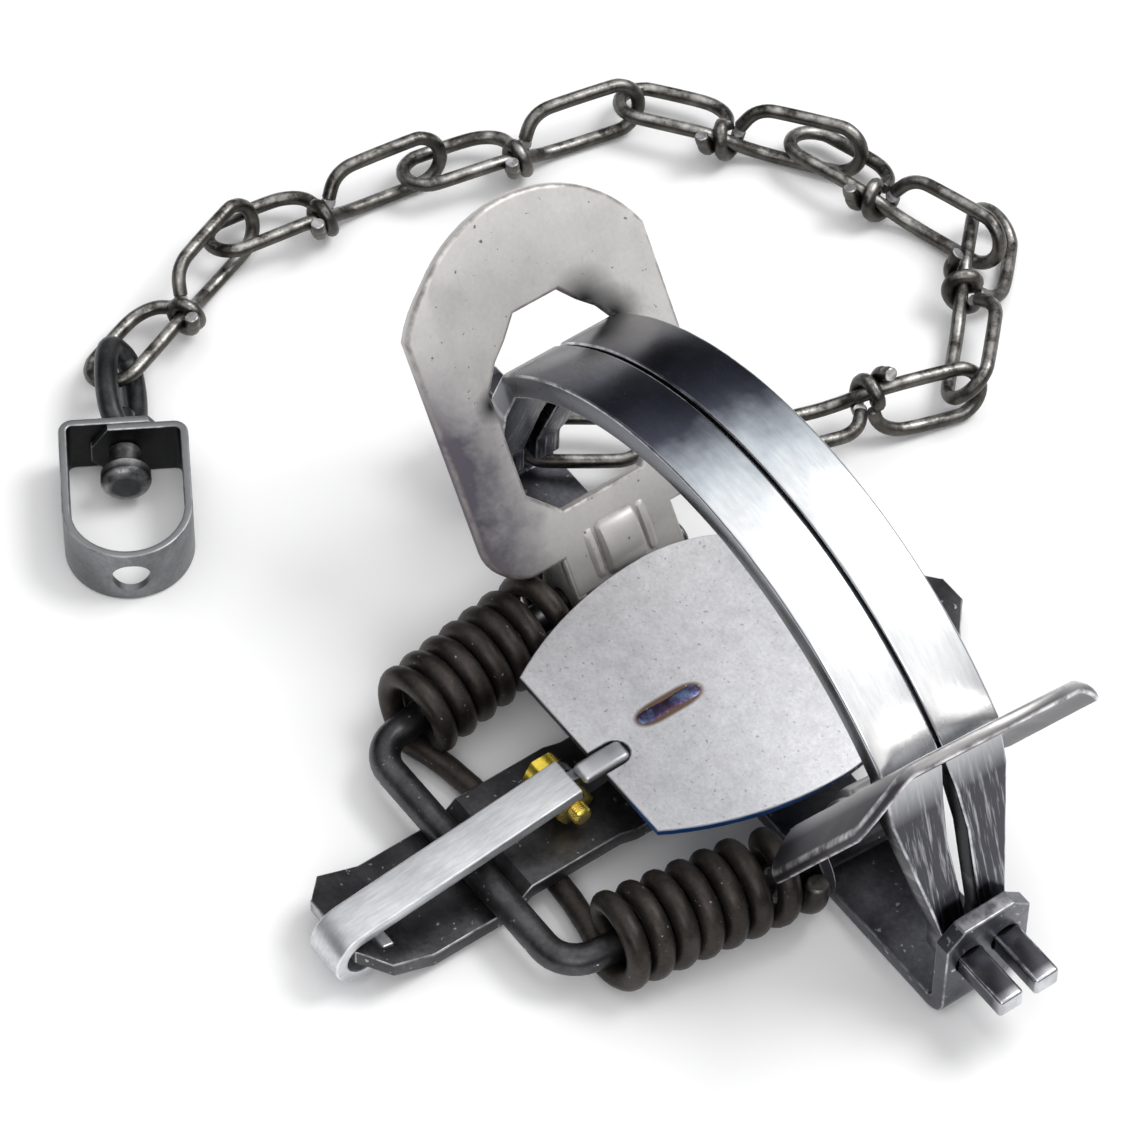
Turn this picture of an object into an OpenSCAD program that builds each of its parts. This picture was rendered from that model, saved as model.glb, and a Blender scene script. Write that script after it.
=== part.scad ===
/* [Base] */
// width of the base strip
base_w = 19; // [16:0.5:26]
// thickness of the base strip
base_t = 3.5; // [2.5:0.1:5]
// half length to the outer face of each end plate
base_half = 74.7; // [65:0.1:85]
// height of the end plates
end_h = 24.3; // [20:0.1:30]
// chamfer at the top corners of the end plates
end_chamfer = 3.5; // [1:0.1:5]
// diameter of the chain hole in the back end plate
chain_hole_d = 5.6; // [5:0.1:7]
// height of the chain hole
chain_hole_z = 6.5; // [6:0.1:8]
// sideways place of the chain hole
chain_hole_y = 4.2; // [3:0.1:5]

/* [Cross arm] */
// width of the cross arm
arm_w = 24.6; // [20:0.2:30]
// thickness of the cross arm
arm_t = 3.5; // [2.5:0.1:5]
// far end of the arm
arm_far_y = 52; // [40:1:60]
// dog end of the arm
arm_dog_y = 92; // [88:0.1:100]
// height of the dog side of the arm above the ground
arm_lift = 1.5; // [0:0.1:2]
// upward bend of the dog end in degrees
arm_bend = 25; // [10:1:40]

/* [Jaws] */
// outer radius of the jaw bow
jaw_r = 79; // [70:0.5:90]
// thickness of the jaw strip
jaw_t = 5; // [3:0.1:7]
// width of each jaw
jaw_w = 12.65; // [10:0.05:14]
// half of the gap between the closed jaws
jaw_gap = 0.35; // [0.2:0.05:1]
// height of the jaw pivots
jaw_pivot_z = 15; // [12:0.1:18]
// sideways place of the jaw pivots
jaw_pivot_y = 4.1; // [3.6:0.1:5]
// diameter over the corners of a jaw peg
peg_d = 6.4; // [5:0.1:7]
// reach of the pegs past the middle
peg_reach = 87; // [80:0.5:92]

/* [Levers] */
// lever plate thickness
lever_t = 2.6; // [1.6:0.1:3]
// half width of the lever plate
lever_half = 26.5; // [22:0.5:30]
// half width of the ring opening
ring_half = 15; // [13.4:0.1:16]
// lean of the raised back lever in degrees
lever_lean = 56.7; // [45:0.1:75]
// lean of the raised front lever in degrees
front_lean = 60.5; // [45:0.1:75]
// splay of the front lever and its end of the rod in degrees
front_splay = 4; // [0:0.1:9]
// lever pivot distance from the middle
lever_pivot_x = 38; // [34:0.1:44]
// height of the lever pivot
lever_pivot_z = 8; // [7:0.1:10]

/* [Spring] */
// spring wire diameter
wire_d = 4.4; // [3:0.1:5]
// mean coil radius
coil_r = 7.55; // [6:0.05:9]
// coil pitch
coil_pitch = 5; // [4.9:0.1:7]
// closed turns in each coil
coil_turns = 6; // [3:1:7]
// height of the coil axis
coil_z = 9.85; // [9.8:0.05:12]
// diameter of the spring rod
rod_d = 6; // [5:0.1:7]

/* [Pan] */
// top of the pan
pan_z = 19; // [16:0.1:24]
// pan plate thickness
pan_t = 1.6; // [1:0.1:3]
// half width of the pan
pan_half = 31.2; // [26:0.1:36]
// straight edge of the pan toward the dog
pan_edge = 34.7; // [30:0.1:38]
// pan bolt place along the arm
bolt_y = -41.5; // [-44:0.1:-40]
// pan bolt height
bolt_z = 13.5; // [13:0.1:15]
// pan bolt diameter
bolt_d = 4; // [3:0.1:5]

/* [Dog] */
// dog width
dog_w = 8.6; // [6:0.1:11]
// dog thickness
dog_t = 2.6; // [1.5:0.1:3.5]
// sideways place of the dog
dog_x = 3; // [0:0.1:5]
// rise of the dog toward the pan in degrees
dog_rise = 6.5; // [5:0.1:18]

/* [Chain] */
// chain wire diameter
link_d = 3.1; // [2.5:0.1:3.6]
// reach of each loop from the knot to the wire middle
loop_len = 25.5; // [20:0.5:32]
// half width of each loop to the wire middle
loop_half = 5.4; // [4.2:0.1:6]

/* [Swivel] */
// swivel strip thickness
swivel_t = 1.6; // [1.2:0.1:3]
// swivel width over all
swivel_w = 25; // [20:0.5:30]
// swivel strip height
swivel_h = 13; // [10:0.5:20]
// straight length of the swivel sides
swivel_side = 20.5; // [18:0.5:32]
// diameter of the eye wire
eye_d = 4.6; // [3.6:0.1:5.6]
// diameter of the hole in the round end
swivel_hole_d = 7.5; // [5:0.1:9]

/* [Hidden] */
$fn = 48;
eps = 0.01;
slop = 0.05;
plate_in = 7.08;
foot = 2.75;
rod_r = rod_d / 2;
bar = 2.3;
bend_y = arm_dog_y - 14;
hump_y = bolt_y - 3.5;
dog_pivot = [bar - arm_dog_y, arm_lift + arm_t / 2 + (arm_dog_y - bar - bend_y) * tan(arm_bend)];
// places of the links as they lie: x from the back end plate, y, z, roll, pitch, heading
links = [
  [-69.8, -29.1, 6.36, -20, -1.2, 110.6],
  [-74, 9.6, 6.5, -14, -2, 81],
  [-64, 50.75, 6.53, -15, -1.4, 77],
  [-41.2, 88.7, 6.5, -14, -2, 35.2],
  [-9.1, 103.5, 6.3, -17, -2.8, 14.8],
  [23.8, 98.7, 6.71, -42, -4.6, -45.5],
  [33.9, 61.1, 8.27, -72, -4.5, -104.6],
  [14, 25.3, 6.9, -90, 0, -125.6]
];
swivel_at = [-44.67 - base_half, -58.16, 6.35];
swivel_head = -31.1;
eye_roll = -56.3;

function unit(v) = v / norm(v);
function carry(u, t) = unit(u - (u * t) * t);

// tube along a path of points, sides are carried along without twist
module tube(path, r, sides, closed = false) {
  n = len(path);
  tan_at = [for (i = [0:n - 1]) closed
    ? unit(path[(i + 1) % n] - path[(i + n - 1) % n])
    : unit(path[min(i + 1, n - 1)] - path[max(i - 1, 0)])];
  u0 = abs(tan_at[0][1]) < 0.9 ? carry([0, 1, 0], tan_at[0]) : carry([0, 0, 1], tan_at[0]);
  us = [for (i = 0, u = u0; i < n; i = i + 1, u = i < n ? carry(u, tan_at[i]) : u) u];
  pts = [for (i = [0:n - 1]) for (k = [0:sides - 1])
    let (a = 360 * k / sides, v = cross(tan_at[i], us[i]))
    path[i] + r * (cos(a) * us[i] + sin(a) * v)];
  last = closed ? n - 1 : n - 2;
  walls = [for (i = [0:last]) for (k = [0:sides - 1])
    let (j = (i + 1) % n, m = (k + 1) % sides)
    [i * sides + k, j * sides + k, j * sides + m, i * sides + m]];
  caps = closed ? [] : [
    [for (k = [0:sides - 1]) k],
    [for (k = [sides - 1:-1:0]) (n - 1) * sides + k]];
  polyhedron(points = pts, faces = concat(walls, caps), convexity = 8);
}

// base strip turned up at both ends
module base_profile() {
  flat = base_half - 4.5;
  translate([-flat, 0]) square([2 * flat, base_t]);
  for (s = [0, 1]) mirror([s, 0]) {
    translate([base_half - base_t, 4.5]) square([base_t, end_h - 4.5]);
    translate([flat, 4.5]) intersection() {
      difference() {
        circle(4.5);
        circle(4.5 - base_t);
      }
      translate([-eps, -6]) square([6, 6 + eps]);
    }
  }
}

module base_frame() {
  color([0.4, 0.41, 0.43]) difference() {
    intersection() {
      translate([0, base_w / 2, 0]) rotate([90, 0, 0]) linear_extrude(base_w) base_profile();
      rotate([90, 0, 90]) translate([0, 0, -base_half - 1]) linear_extrude(2 * base_half + 2)
        polygon([[-base_w / 2, -1], [base_w / 2, -1], [base_w / 2, end_h - end_chamfer],
          [base_w / 2 - end_chamfer, end_h], [end_chamfer - base_w / 2, end_h],
          [-base_w / 2, end_h - end_chamfer]]);
    }
    for (y = [-jaw_pivot_y, jaw_pivot_y])
      translate([-base_half - 1, y, jaw_pivot_z]) rotate([0, 90, 0])
        cylinder(d = peg_d + 2 * slop, h = 2 * base_half + 2);
    translate([-base_half - 1, chain_hole_y, chain_hole_z]) rotate([0, 90, 0])
      cylinder(d = chain_hole_d, h = 6);
  }
}

// side view of the cross arm: low at both ends, over the base and over the spring bridge
module arm_profile() {
  rise = (arm_dog_y - bend_y) * tan(arm_bend);
  step = base_w / 2 + 2.5;
  low = [[-arm_dog_y, arm_lift + rise], [-bend_y, arm_lift], [hump_y - 15, arm_lift], [hump_y - 11, 5],
    [hump_y + 9, 5], [hump_y + 13, base_t], [step, base_t], [step + 6, 0], [arm_far_y, 0]];
  n = len(low);
  polygon(concat(low, [for (i = [n - 1:-1:0]) low[i] + [0, arm_t]]));
}

module cross_arm() {
  color([0.35, 0.36, 0.4]) difference() {
    intersection() {
      translate([-arm_w / 2, 0, 0]) rotate([90, 0, 90]) linear_extrude(arm_w) arm_profile();
      translate([0, 0, -1]) linear_extrude(30)
        polygon([[-arm_w / 2, -arm_dog_y + 5], [-arm_w / 2 + 5, -arm_dog_y], [arm_w / 2 - 5, -arm_dog_y],
          [arm_w / 2, -arm_dog_y + 5], [arm_w / 2, arm_far_y - 8], [arm_w / 2 - 9, arm_far_y],
          [9 - arm_w / 2, arm_far_y], [-arm_w / 2, arm_far_y - 8]]);
    }
    translate([dog_x - dog_w / 2 - 0.6, dog_pivot[0] + bar, -1]) cube([dog_w + 1.2, 4.9, 16]);
  }
}

module pan_post() {
  base_z = 5 + arm_t;
  color([0.45, 0.43, 0.4]) difference() {
    translate([-2.6, 0, 0]) rotate([90, 0, 90]) linear_extrude(2.4) union() {
      translate([bolt_y, bolt_z]) circle(4.4);
      translate([bolt_y - 4.4, base_z]) square([8.8, bolt_z - base_z]);
    }
    translate([-4, bolt_y, bolt_z]) rotate([0, 90, 0]) cylinder(d = bolt_d + 0.1, h = 8);
  }
}

module pan_outline() {
  side_r = 69;
  difference() {
    union() {
      translate([0, 0.5]) circle(pan_half, $fn = 96);
      intersection() {
        translate([pan_half - side_r, 0.5]) circle(side_r, $fn = 192);
        translate([side_r - pan_half, 0.5]) circle(side_r, $fn = 192);
        translate([-40, -pan_edge]) square([80, pan_edge + 0.5]);
      }
    }
    translate([-0.1, -pan_edge - 1]) square([5.7, 5.2]);
    translate([2.75, -pan_edge + 4.2]) circle(2.85);
  }
}

module pan_plate() {
  color([0.7, 0.7, 0.72]) translate([0, 0, pan_z - pan_t]) linear_extrude(pan_t) pan_outline();
}

// upright blade under the pan with the catch for the dog
module pan_shank() {
  top = pan_z - pan_t;
  color([0.55, 0.55, 0.57]) difference() {
    translate([0.1, 0, 0]) rotate([90, 0, 90]) linear_extrude(2.4) union() {
      translate([bolt_y, bolt_z]) circle(4.4);
      polygon([[bolt_y, bolt_z - 4.4], [-22, top - 5], [6, top - 3], [6, top], [bolt_y + 6, top],
        [bolt_y, bolt_z + 4.4]]);
      translate([-pan_edge + 2.1, top - 1]) circle(3.1);
    }
    translate([-4, bolt_y, bolt_z]) rotate([0, 90, 0]) cylinder(d = bolt_d + 0.1, h = 8);
  }
}

module pan_bolt() {
  color([0.8, 0.65, 0.3]) translate([0, bolt_y, bolt_z]) rotate([0, 90, 0]) union() {
    translate([0, 0, -5.8]) cylinder(d = 8.2, h = 3.2, $fn = 6);
    translate([0, 0, -2.7]) cylinder(d = bolt_d, h = 11);
  }
}

module pan_nut() {
  color([0.78, 0.63, 0.3]) translate([0, bolt_y, bolt_z]) rotate([0, 90, 0]) difference() {
    translate([0, 0, 2.6]) cylinder(d = 8.2, h = 3.2, $fn = 6);
    translate([0, 0, 2]) cylinder(d = bolt_d, h = 5);
  }
}

// flat dog hooked round the end bar of the arm
module dog() {
  r_in = 3.9;
  r_out = r_in + dog_t;
  reach = 49.6;
  color([0.75, 0.76, 0.78]) translate([dog_x - dog_w / 2, dog_pivot[0], dog_pivot[1]])
    rotate([dog_rise, 0, 0]) rotate([90, 0, 90]) linear_extrude(dog_w) union() {
      difference() {
        circle(r_out);
        circle(r_in);
        polygon([[0, 0], [12, -3], [12, 3.8], [0, 3.8]]);
      }
      translate([0, r_in]) square([reach, dog_t]);
    }
}

// half of the jaw bow, seen along the arm
module jaw_profile() {
  a = 46.4;
  lean = 20;
  r_in = jaw_r - jaw_t;
  leg_x = base_half - base_t - 0.6;
  intersection() {
    translate([0, 2]) difference() {
      circle(jaw_r, $fn = 180);
      circle(r_in, $fn = 180);
    }
    translate([0, 2]) polygon([[0, 0], [200 * sin(a), 200 * cos(a)], [0, 400],
      [-200 * sin(a), 200 * cos(a)]]);
  }
  for (s = [0, 1]) mirror([s, 0])
    polygon([[jaw_r * sin(a - 1) - 0.03, 2 + jaw_r * cos(a - 1)], [jaw_r * sin(a), 2 + jaw_r * cos(a)],
      [leg_x, lean], [leg_x, jaw_pivot_z - 2.8], [leg_x - jaw_t, jaw_pivot_z - 2.8],
      [leg_x - jaw_t, lean - 1.5], [r_in * sin(a), 2 + r_in * cos(a)],
      [(r_in + 0.05) * sin(a - 1), 2 + (r_in + 0.05) * cos(a - 1)]]);
}

module jaw() {
  out = jaw_gap + jaw_w;
  leg_x = base_half - base_t - 0.6;
  union() {
    intersection() {
      translate([0, out, 0]) rotate([90, 0, 0]) linear_extrude(jaw_w) jaw_profile();
      rotate([90, 0, 90]) translate([0, 0, -90]) linear_extrude(180)
        polygon([[jaw_gap, jaw_r + 5], [out, jaw_r + 5], [out, 46], [jaw_pivot_y + 2.9, 17.5],
          [jaw_pivot_y + 2.9, 12], [jaw_pivot_y - 2.7, 12], [jaw_pivot_y - 2.7, 17.5], [2.4, 40],
          [jaw_gap, 52]]);
    }
    for (s = [0, 1]) mirror([s, 0, 0]) translate([leg_x - 1, jaw_pivot_y, jaw_pivot_z]) rotate([0, 90, 0])
      linear_extrude(peg_reach - leg_x + 1) intersection() {
        circle(d = peg_d);
        square([4.4, 5.4], center = true);
      }
  }
}

module jaw_far_side() {
  color([0.6, 0.62, 0.65]) jaw();
}

module jaw_dog_side() {
  color([0.62, 0.64, 0.67]) mirror([0, 1, 0]) jaw();
}

// lever plate seen square on: x runs up the plate from the pivot foot, y across
module lever_plate(room, lift) {
  top_r = 28.8;
  half = ring_half + room;
  translate([-foot, 0]) difference() {
    union() {
      translate([21, -lever_half]) square([45, 2 * lever_half]);
      intersection() {
        translate([54.6, 0]) circle(top_r, $fn = 120);
        translate([54, -lever_half]) square([40, 2 * lever_half]);
      }
      for (s = [-1, 1]) translate([21, s * (lever_half - 8)]) circle(8);
      translate([13, 8 - lever_half]) square([9, 2 * lever_half - 16]);
      translate([4.5, -12.6]) square([9, 25.2]);
    }
    polygon([[22.3, -9], [28.5, -half], [50 + lift, -half], [55 + lift, -11.8], [58 + lift, -8.5],
      [62 + lift, -5], [62 + lift, 5], [58 + lift, 8.5], [55 + lift, 11.8], [50 + lift, half],
      [28.5, half], [22.3, 9]]);
  }
}

module lever(slide, room, lift) {
  boss_x = 11.4 - foot;
  difference() {
    union() {
      translate([0, slide, plate_in - lever_t]) linear_extrude(lever_t)
        lever_plate(room, lift);
      translate([boss_x, 7.5 + slide, plate_in - 3.7]) rotate([90, 0, 0]) intersection() {
        cylinder(r = 5.8, h = 15);
        translate([-7, 3.7 - lever_t, -1]) cube([14, 7, 17]);
      }
      for (y = [-10.3, 12.6]) translate([0, y, 0]) rotate([90, 0, 0]) linear_extrude(2.3) union() {
        circle(7.3);
        polygon([[-7.3, 0], [4.5 - foot, plate_in], [13.2 - foot, plate_in],
          [13.2 - foot, plate_in - lever_t], [7.1, -1.4]]);
      }
    }
    translate([boss_x, 5.6 + slide, plate_in - 3.7]) rotate([90, 0, 0]) cylinder(r = 3.9, h = 11.2);
    translate([0, 14, 0]) rotate([90, 0, 0]) cylinder(r = rod_r + slop, h = 28);
  }
}

// sideways step of the splayed ring that keeps it over the jaws
front_slide = tan(front_splay)
  * ((50 - foot) * cos(front_lean) - (plate_in - lever_t / 2) * sin(front_lean));

module lever_front() {
  color([0.62, 0.6, 0.57])
    translate([lever_pivot_x, 0, lever_pivot_z]) rotate([0, 0, -front_splay])
      rotate([0, -front_lean, 0]) lever(front_slide, 0.4, 2);
}

module lever_back() {
  color([0.6, 0.58, 0.55]) mirror([1, 0, 0])
    translate([lever_pivot_x, 0, lever_pivot_z]) rotate([0, -lever_lean, 0]) lever(0, 0, 0);
}

// one wire: bridge under the arm, two coils, ends turned up beside the levers
coil_y0 = hump_y - 8;
coil_y1 = coil_y0 + coil_turns * coil_pitch;
leg_y = -15.3;
leg_top = 13.2;
low_z = wire_d / 2 + 0.25;
function coil_x(y) = lever_pivot_x - 6.5 + 0.15 * (y - coil_y0);
function turn(k) = let (y = coil_y0 + coil_pitch * k / 8, a = 45 * k)
  [coil_x(y) + coil_r * sin(a), y, coil_z - coil_r * cos(a)];
function wide(k) = let (y = coil_y1 + min(1, k / 8) * (leg_y - coil_y1), a = 45 * k)
  [coil_x(y) + coil_r * sin(a), y, coil_z - coil_r * cos(a)];
half_wire = concat(
  [for (x = [0, 0.4, 0.8]) [x * coil_x(coil_y0), coil_y0 - 0.5, low_z]],
  [for (k = [0:8 * coil_turns - 1]) turn(k)],
  [for (k = [0:10]) wide(k)],
  [for (z = [(coil_z + leg_top) / 2, leg_top]) [coil_x(leg_y) + coil_r, leg_y, z]]
);
wire_path = concat(
  [for (i = [len(half_wire) - 1:-1:1]) [-half_wire[i][0], half_wire[i][1], half_wire[i][2]]],
  half_wire
);
far_pairs = [for (i = [0:len(half_wire) - 1]) for (j = [i + 5:1:len(half_wire) - 1])
  norm(half_wire[i] - half_wire[j])];
echo(least_gap = min(far_pairs) - wire_d);

module coil_spring() {
  color([0.16, 0.14, 0.13]) tube(wire_path, wire_d / 2, 6);
}

// bent rod through both coils and both levers
rod_z = arm_lift + arm_t + rod_r + slop;
rod_side = lever_pivot_x - 7;
rod_y = coil_y0 - 9;
rod_corner = [rod_side, rod_y + 7, rod_z];
function rod_turn(splay) = [lever_pivot_x - 15 * tan(splay), -15, lever_pivot_z];
function rod_half(splay) = concat(
  [[0, rod_y, rod_z], [12, rod_y, rod_z]],
  [for (k = [0:6]) [rod_side - 7 + 7 * sin(15 * k), rod_y + 7 - 7 * cos(15 * k), rod_z]],
  [for (k = [1:4]) rod_corner + k / 4 * (rod_turn(splay) - rod_corner)],
  [for (d = [3, 5]) rod_turn(splay) + d * [sin(splay), cos(splay), 0]]
);
rod_back = rod_half(0);
rod_path = concat(
  [for (i = [len(rod_back) - 1:-1:1]) let (p = rod_back[i]) [-p[0], p[1], p[2]]],
  rod_half(front_splay)
);

module rod_end(splay) {
  translate(rod_turn(splay)) rotate([-90, 0, -splay]) translate([0, 0, 1.5])
    cylinder(r = rod_r + 0.005, h = 29);
}

module spring_rod() {
  color([0.38, 0.38, 0.4]) union() {
    tube(rod_path, rod_r, 14);
    rod_end(front_splay);
    mirror([1, 0, 0]) rod_end(0);
  }
}

// closed loop of wire that starts behind the knot and ends at the reach
function loop_path(reach, half, neck, n) = [for (i = [0:n - 1]) let (a = 360 * i / n, q = sin(a))
  [-neck + (reach + neck) * (1 - cos(a)) / 2, half * sign(q) * pow(abs(q), 0.6), 0]];

// wire of a link: out round one loop, through the middle, back round the loop square to it
function strand(x) = let (t = max(0, min(1, (x + 5) / 10))) [x, -loop_half * (1 - t), -loop_half * t];
function end_arc(k) = [loop_len - loop_half + loop_half * cos(30 * k), loop_half * sin(30 * k)];
link_path = concat(
  [[-2.6, -0.7, -0.3], [-3.4, 2.2, -0.1], [-6, loop_half, 0]],
  [for (k = [3:-1:-3]) let (p = end_arc(k)) [-p[0], p[1], 0]],
  [[-6.5, -loop_half, 0], strand(-3.5), strand(0), strand(3.5), [6.5, 0, -loop_half]],
  [for (k = [-3:3]) let (p = end_arc(k)) [p[0], 0, p[1]]],
  [[3.6, 0, loop_half], [1, -0.6, 3], [0.1, -1.3, 0.4]]
);
// turns round the shared strand, with a cut end that stands out
tie_path = [for (i = [0:20]) let (a = 72 - 32 * i, r = i == 20 ? 4.2 : 2.75)
  strand(0.2 - 0.29 * i) + r * [0, cos(a), sin(a)]];

module link() {
  union() {
    tube(link_path, link_d / 2, 6);
    tube(tie_path, link_d / 2, 6);
  }
}

module place_link(i) {
  p = links[i - 1];
  color([0.3, 0.29, 0.28]) translate([p[0] - base_half, p[1], p[2]])
    rotate([p[3], p[4], p[5]]) link();
}

module chain_link_1() {
  place_link(1);
}
module chain_link_2() {
  place_link(2);
}
module chain_link_3() {
  place_link(3);
}
module chain_link_4() {
  place_link(4);
}
module chain_link_5() {
  place_link(5);
}
module chain_link_6() {
  place_link(6);
}
module chain_link_7() {
  place_link(7);
}
module chain_link_8() {
  place_link(8);
}

// eye bolt with a button head inside the stirrup
module swivel_eye() {
  color([0.2, 0.2, 0.2]) translate(swivel_at) rotate([0, 0, swivel_head]) union() {
    rotate([eye_roll, 0, 0]) translate([-6, 0, 0]) rotate([0, 0, 180])
      tube(loop_path(17.5, 4.9, 2.2, 24), eye_d / 2, 8, true);
    translate([-8, 0, 0]) rotate([0, 90, 0]) cylinder(d = 5, h = 12);
    translate([swivel_t + 0.3, 0, 0]) rotate([0, 90, 0]) cylinder(d = 6.4, h = 5.4);
    translate([7, 0, 0]) rotate([0, 90, 0]) cylinder(d = 10, h = 2.6);
    translate([9.6, 0, 0]) rotate([0, 90, 0]) cylinder(d1 = 10, d2 = 7.4, h = 1.2);
  }
}

// strip bent to a stirrup, its pierced ends lie over each other
module swivel_stirrup() {
  r = swivel_w / 2;
  color([0.33, 0.33, 0.35]) translate(swivel_at) rotate([0, 0, swivel_head]) difference() {
    translate([0, 0, -swivel_at[2]]) union() {
      linear_extrude(swivel_h) union() {
        for (y = [r - swivel_t, -r])
          translate([-swivel_t, y]) square([swivel_side + swivel_t, swivel_t]);
        translate([-swivel_t, -r]) square([swivel_t, swivel_w - 0.2]);
        translate([swivel_side, 0]) intersection() {
          difference() {
            circle(r, $fn = 72);
            circle(r - swivel_t, $fn = 72);
          }
          translate([-eps, -r]) square([r, swivel_w]);
        }
      }
      rotate([90, 0, 90]) linear_extrude(swivel_t)
        polygon([[r - 0.5, 0], [-3, 0], [-6.5, 3.5], [-6.5, swivel_h - 5], [-3, swivel_h],
          [r - 0.5, swivel_h]]);
    }
    translate([-5, 0, 0]) rotate([0, 90, 0]) cylinder(d = 5 + 2 * slop, h = 12);
    translate([swivel_side + r - 5, 0, 0]) rotate([0, 90, 0]) cylinder(d = swivel_hole_d, h = 8);
  }
}

base_frame();
cross_arm();
pan_post();
pan_plate();
pan_shank();
pan_bolt();
pan_nut();
dog();
jaw_dog_side();
jaw_far_side();
lever_front();
lever_back();
coil_spring();
spring_rod();
chain_link_1();
chain_link_2();
chain_link_3();
chain_link_4();
chain_link_5();
chain_link_6();
chain_link_7();
chain_link_8();
swivel_eye();
swivel_stirrup();
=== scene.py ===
"""Looks of a sprung leghold trap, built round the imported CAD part.

Lengths are in millimetres until a mesh is made.
"""

import math

import bmesh
import bpy
from mathutils import Matrix, Vector


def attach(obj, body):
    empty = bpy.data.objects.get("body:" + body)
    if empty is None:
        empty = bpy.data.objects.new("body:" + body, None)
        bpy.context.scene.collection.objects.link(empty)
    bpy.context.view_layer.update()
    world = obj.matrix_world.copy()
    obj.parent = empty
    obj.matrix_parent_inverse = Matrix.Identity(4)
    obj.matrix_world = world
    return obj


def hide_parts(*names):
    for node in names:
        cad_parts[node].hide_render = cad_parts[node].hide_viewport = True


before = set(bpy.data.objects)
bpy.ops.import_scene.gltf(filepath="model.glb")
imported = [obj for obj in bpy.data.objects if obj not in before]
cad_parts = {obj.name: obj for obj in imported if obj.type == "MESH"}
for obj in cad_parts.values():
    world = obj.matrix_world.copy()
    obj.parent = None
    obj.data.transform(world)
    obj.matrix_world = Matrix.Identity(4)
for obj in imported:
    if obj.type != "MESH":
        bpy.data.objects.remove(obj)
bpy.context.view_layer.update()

MM = 0.001
X, Y, Z = Vector((1, 0, 0)), Vector((0, 1, 0)), Vector((0, 0, 1))

# Sizes in millimetres and angles in degrees, mostly the ones that the solids have
BASE_HALF, BASE_HALF_W, BASE_T, END_H, END_CHAMFER = 74.7, 9.5, 3.5, 24.3, 3.5
BEND_R = 4.5
CHAIN_HOLE = (4.2, 6.5, 2.8)
ARM_HALF_W, ARM_T, ARM_FAR_Y, ARM_DOG_Y, ARM_LIFT, ARM_BEND = 12.3, 3.5, 52, 92, 1.5, 25
ARM_BEND_Y, ARM_OVER, BAR_HALF = 78, 5, 2.3
JAW_R, JAW_T, JAW_GAP, JAW_W, JAW_SPREAD, JAW_BOW_Z, LEG_FOOT_Z = 79, 5, 0.35, 12.65, 46.4, 2, 18.8
JAW_PIVOT_Y, JAW_PIVOT_Z, PEG_REACH = 4.1, 15, 87
PEG_HOLE_R, PEG_HALF_W, PEG_T = 3.25, 2.7, 4.4
LEVER_T, LEVER_HALF, RING_HALF, LEVER_LEAN, FRONT_LEAN, FRONT_SPLAY = 2.6, 26.5, 15, 56.7, 60.5, 4
LEVER_X, LEVER_Z, PLATE_IN, FOOT, EAR_R, EAR_Y, EAR_HALF_T = 38, 8, 7.08, 2.75, 7.3, 11.45, 1.15
FOLD_AT, FOLD_DROP, WIDE_FOLD_AT, WIDE_FOLD_DROP, BOSS_AT, BOSS_HALF = 19.5, 3.6, 15.8, 7, 11.4, 5.6
WIRE_R, COIL_R, COIL_PITCH, COIL_TURNS, COIL_Z, PAN_ROOM = 2.28, 7.4, 5, 6, 9.8, 0.7
BRIDGE_IN, ROD_R, ROD_CORNER = 4, 3, 7
PAN_Z, PAN_T, PAN_R, PAN_EDGE, NOTCH_X, NOTCH_HALF, NOTCH_DEEP = 19, 1.6, 31.2, 34.7, 2.75, 2.85, 4.2
BOLT_Y, BOLT_Z, BOLT_R, HEX_R, HEX_NEAR, HEX_FAR = -41.5, 13.5, 2, 4.1, 2.6, 5.8
DOG_X, DOG_HALF_W, DOG_T, DOG_RISE, DOG_LONG = 3, 4.3, 2.6, 6.5, 49.6
LINK_R, LOOP_LEN, LOOP_HALF, TIE_R = 1.42, 25.5, 5.4, 2.75
SWIVEL_AT, SWIVEL_HEAD, EYE_ROLL = Vector((-119.37, -58.16, 6.35)), -31.1, -56.3
SWIVEL_T, SWIVEL_HALF, SWIVEL_H, SWIVEL_SIDE = 1.6, 12.5, 13, 20.5
EYE_R, STEM_R, ANCHOR_R = 2.3, 2.5, 3.75
THROUGH, SHARP = 8, math.radians(32)

bend_rise = math.tan(math.radians(ARM_BEND))
dog_y = ARM_DOG_Y - BAR_HALF
dog_pivot = Vector((0, -dog_y, ARM_LIFT + ARM_T / 2 + (dog_y - ARM_BEND_Y) * bend_rise))
at_rod = Matrix.Translation((LEVER_X, 0, LEVER_Z))
splay_turn = Matrix.Rotation(math.radians(-FRONT_SPLAY), 4, "Z")
front = at_rod @ splay_turn @ Matrix.Rotation(math.radians(-FRONT_LEAN), 4, "Y")


def arc(centre, radius, start, end, steps):
    """Points of an arc in a plane, from one angle to another in degrees."""
    return [(centre[0] + radius * math.cos(math.radians(start + (end - start) * i / steps)),
             centre[1] + radius * math.sin(math.radians(start + (end - start) * i / steps)))
            for i in range(steps + 1)]


def resample(points, count, closed=False):
    """The same line with points an equal way apart."""
    line = list(points) + ([points[0]] if closed else [])
    lengths = [0.0]
    for a, b in zip(line, line[1:]):
        lengths.append(lengths[-1] + (b - a).length)
    total, out, i = lengths[-1], [], 0
    for k in range(count):
        s = total * k / (count if closed else count - 1)
        while i < len(line) - 2 and lengths[i + 1] < s:
            i += 1
        span = max(lengths[i + 1] - lengths[i], 1e-9)
        out.append(line[i].lerp(line[i + 1], min(1, (s - lengths[i]) / span)))
    return out


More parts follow.
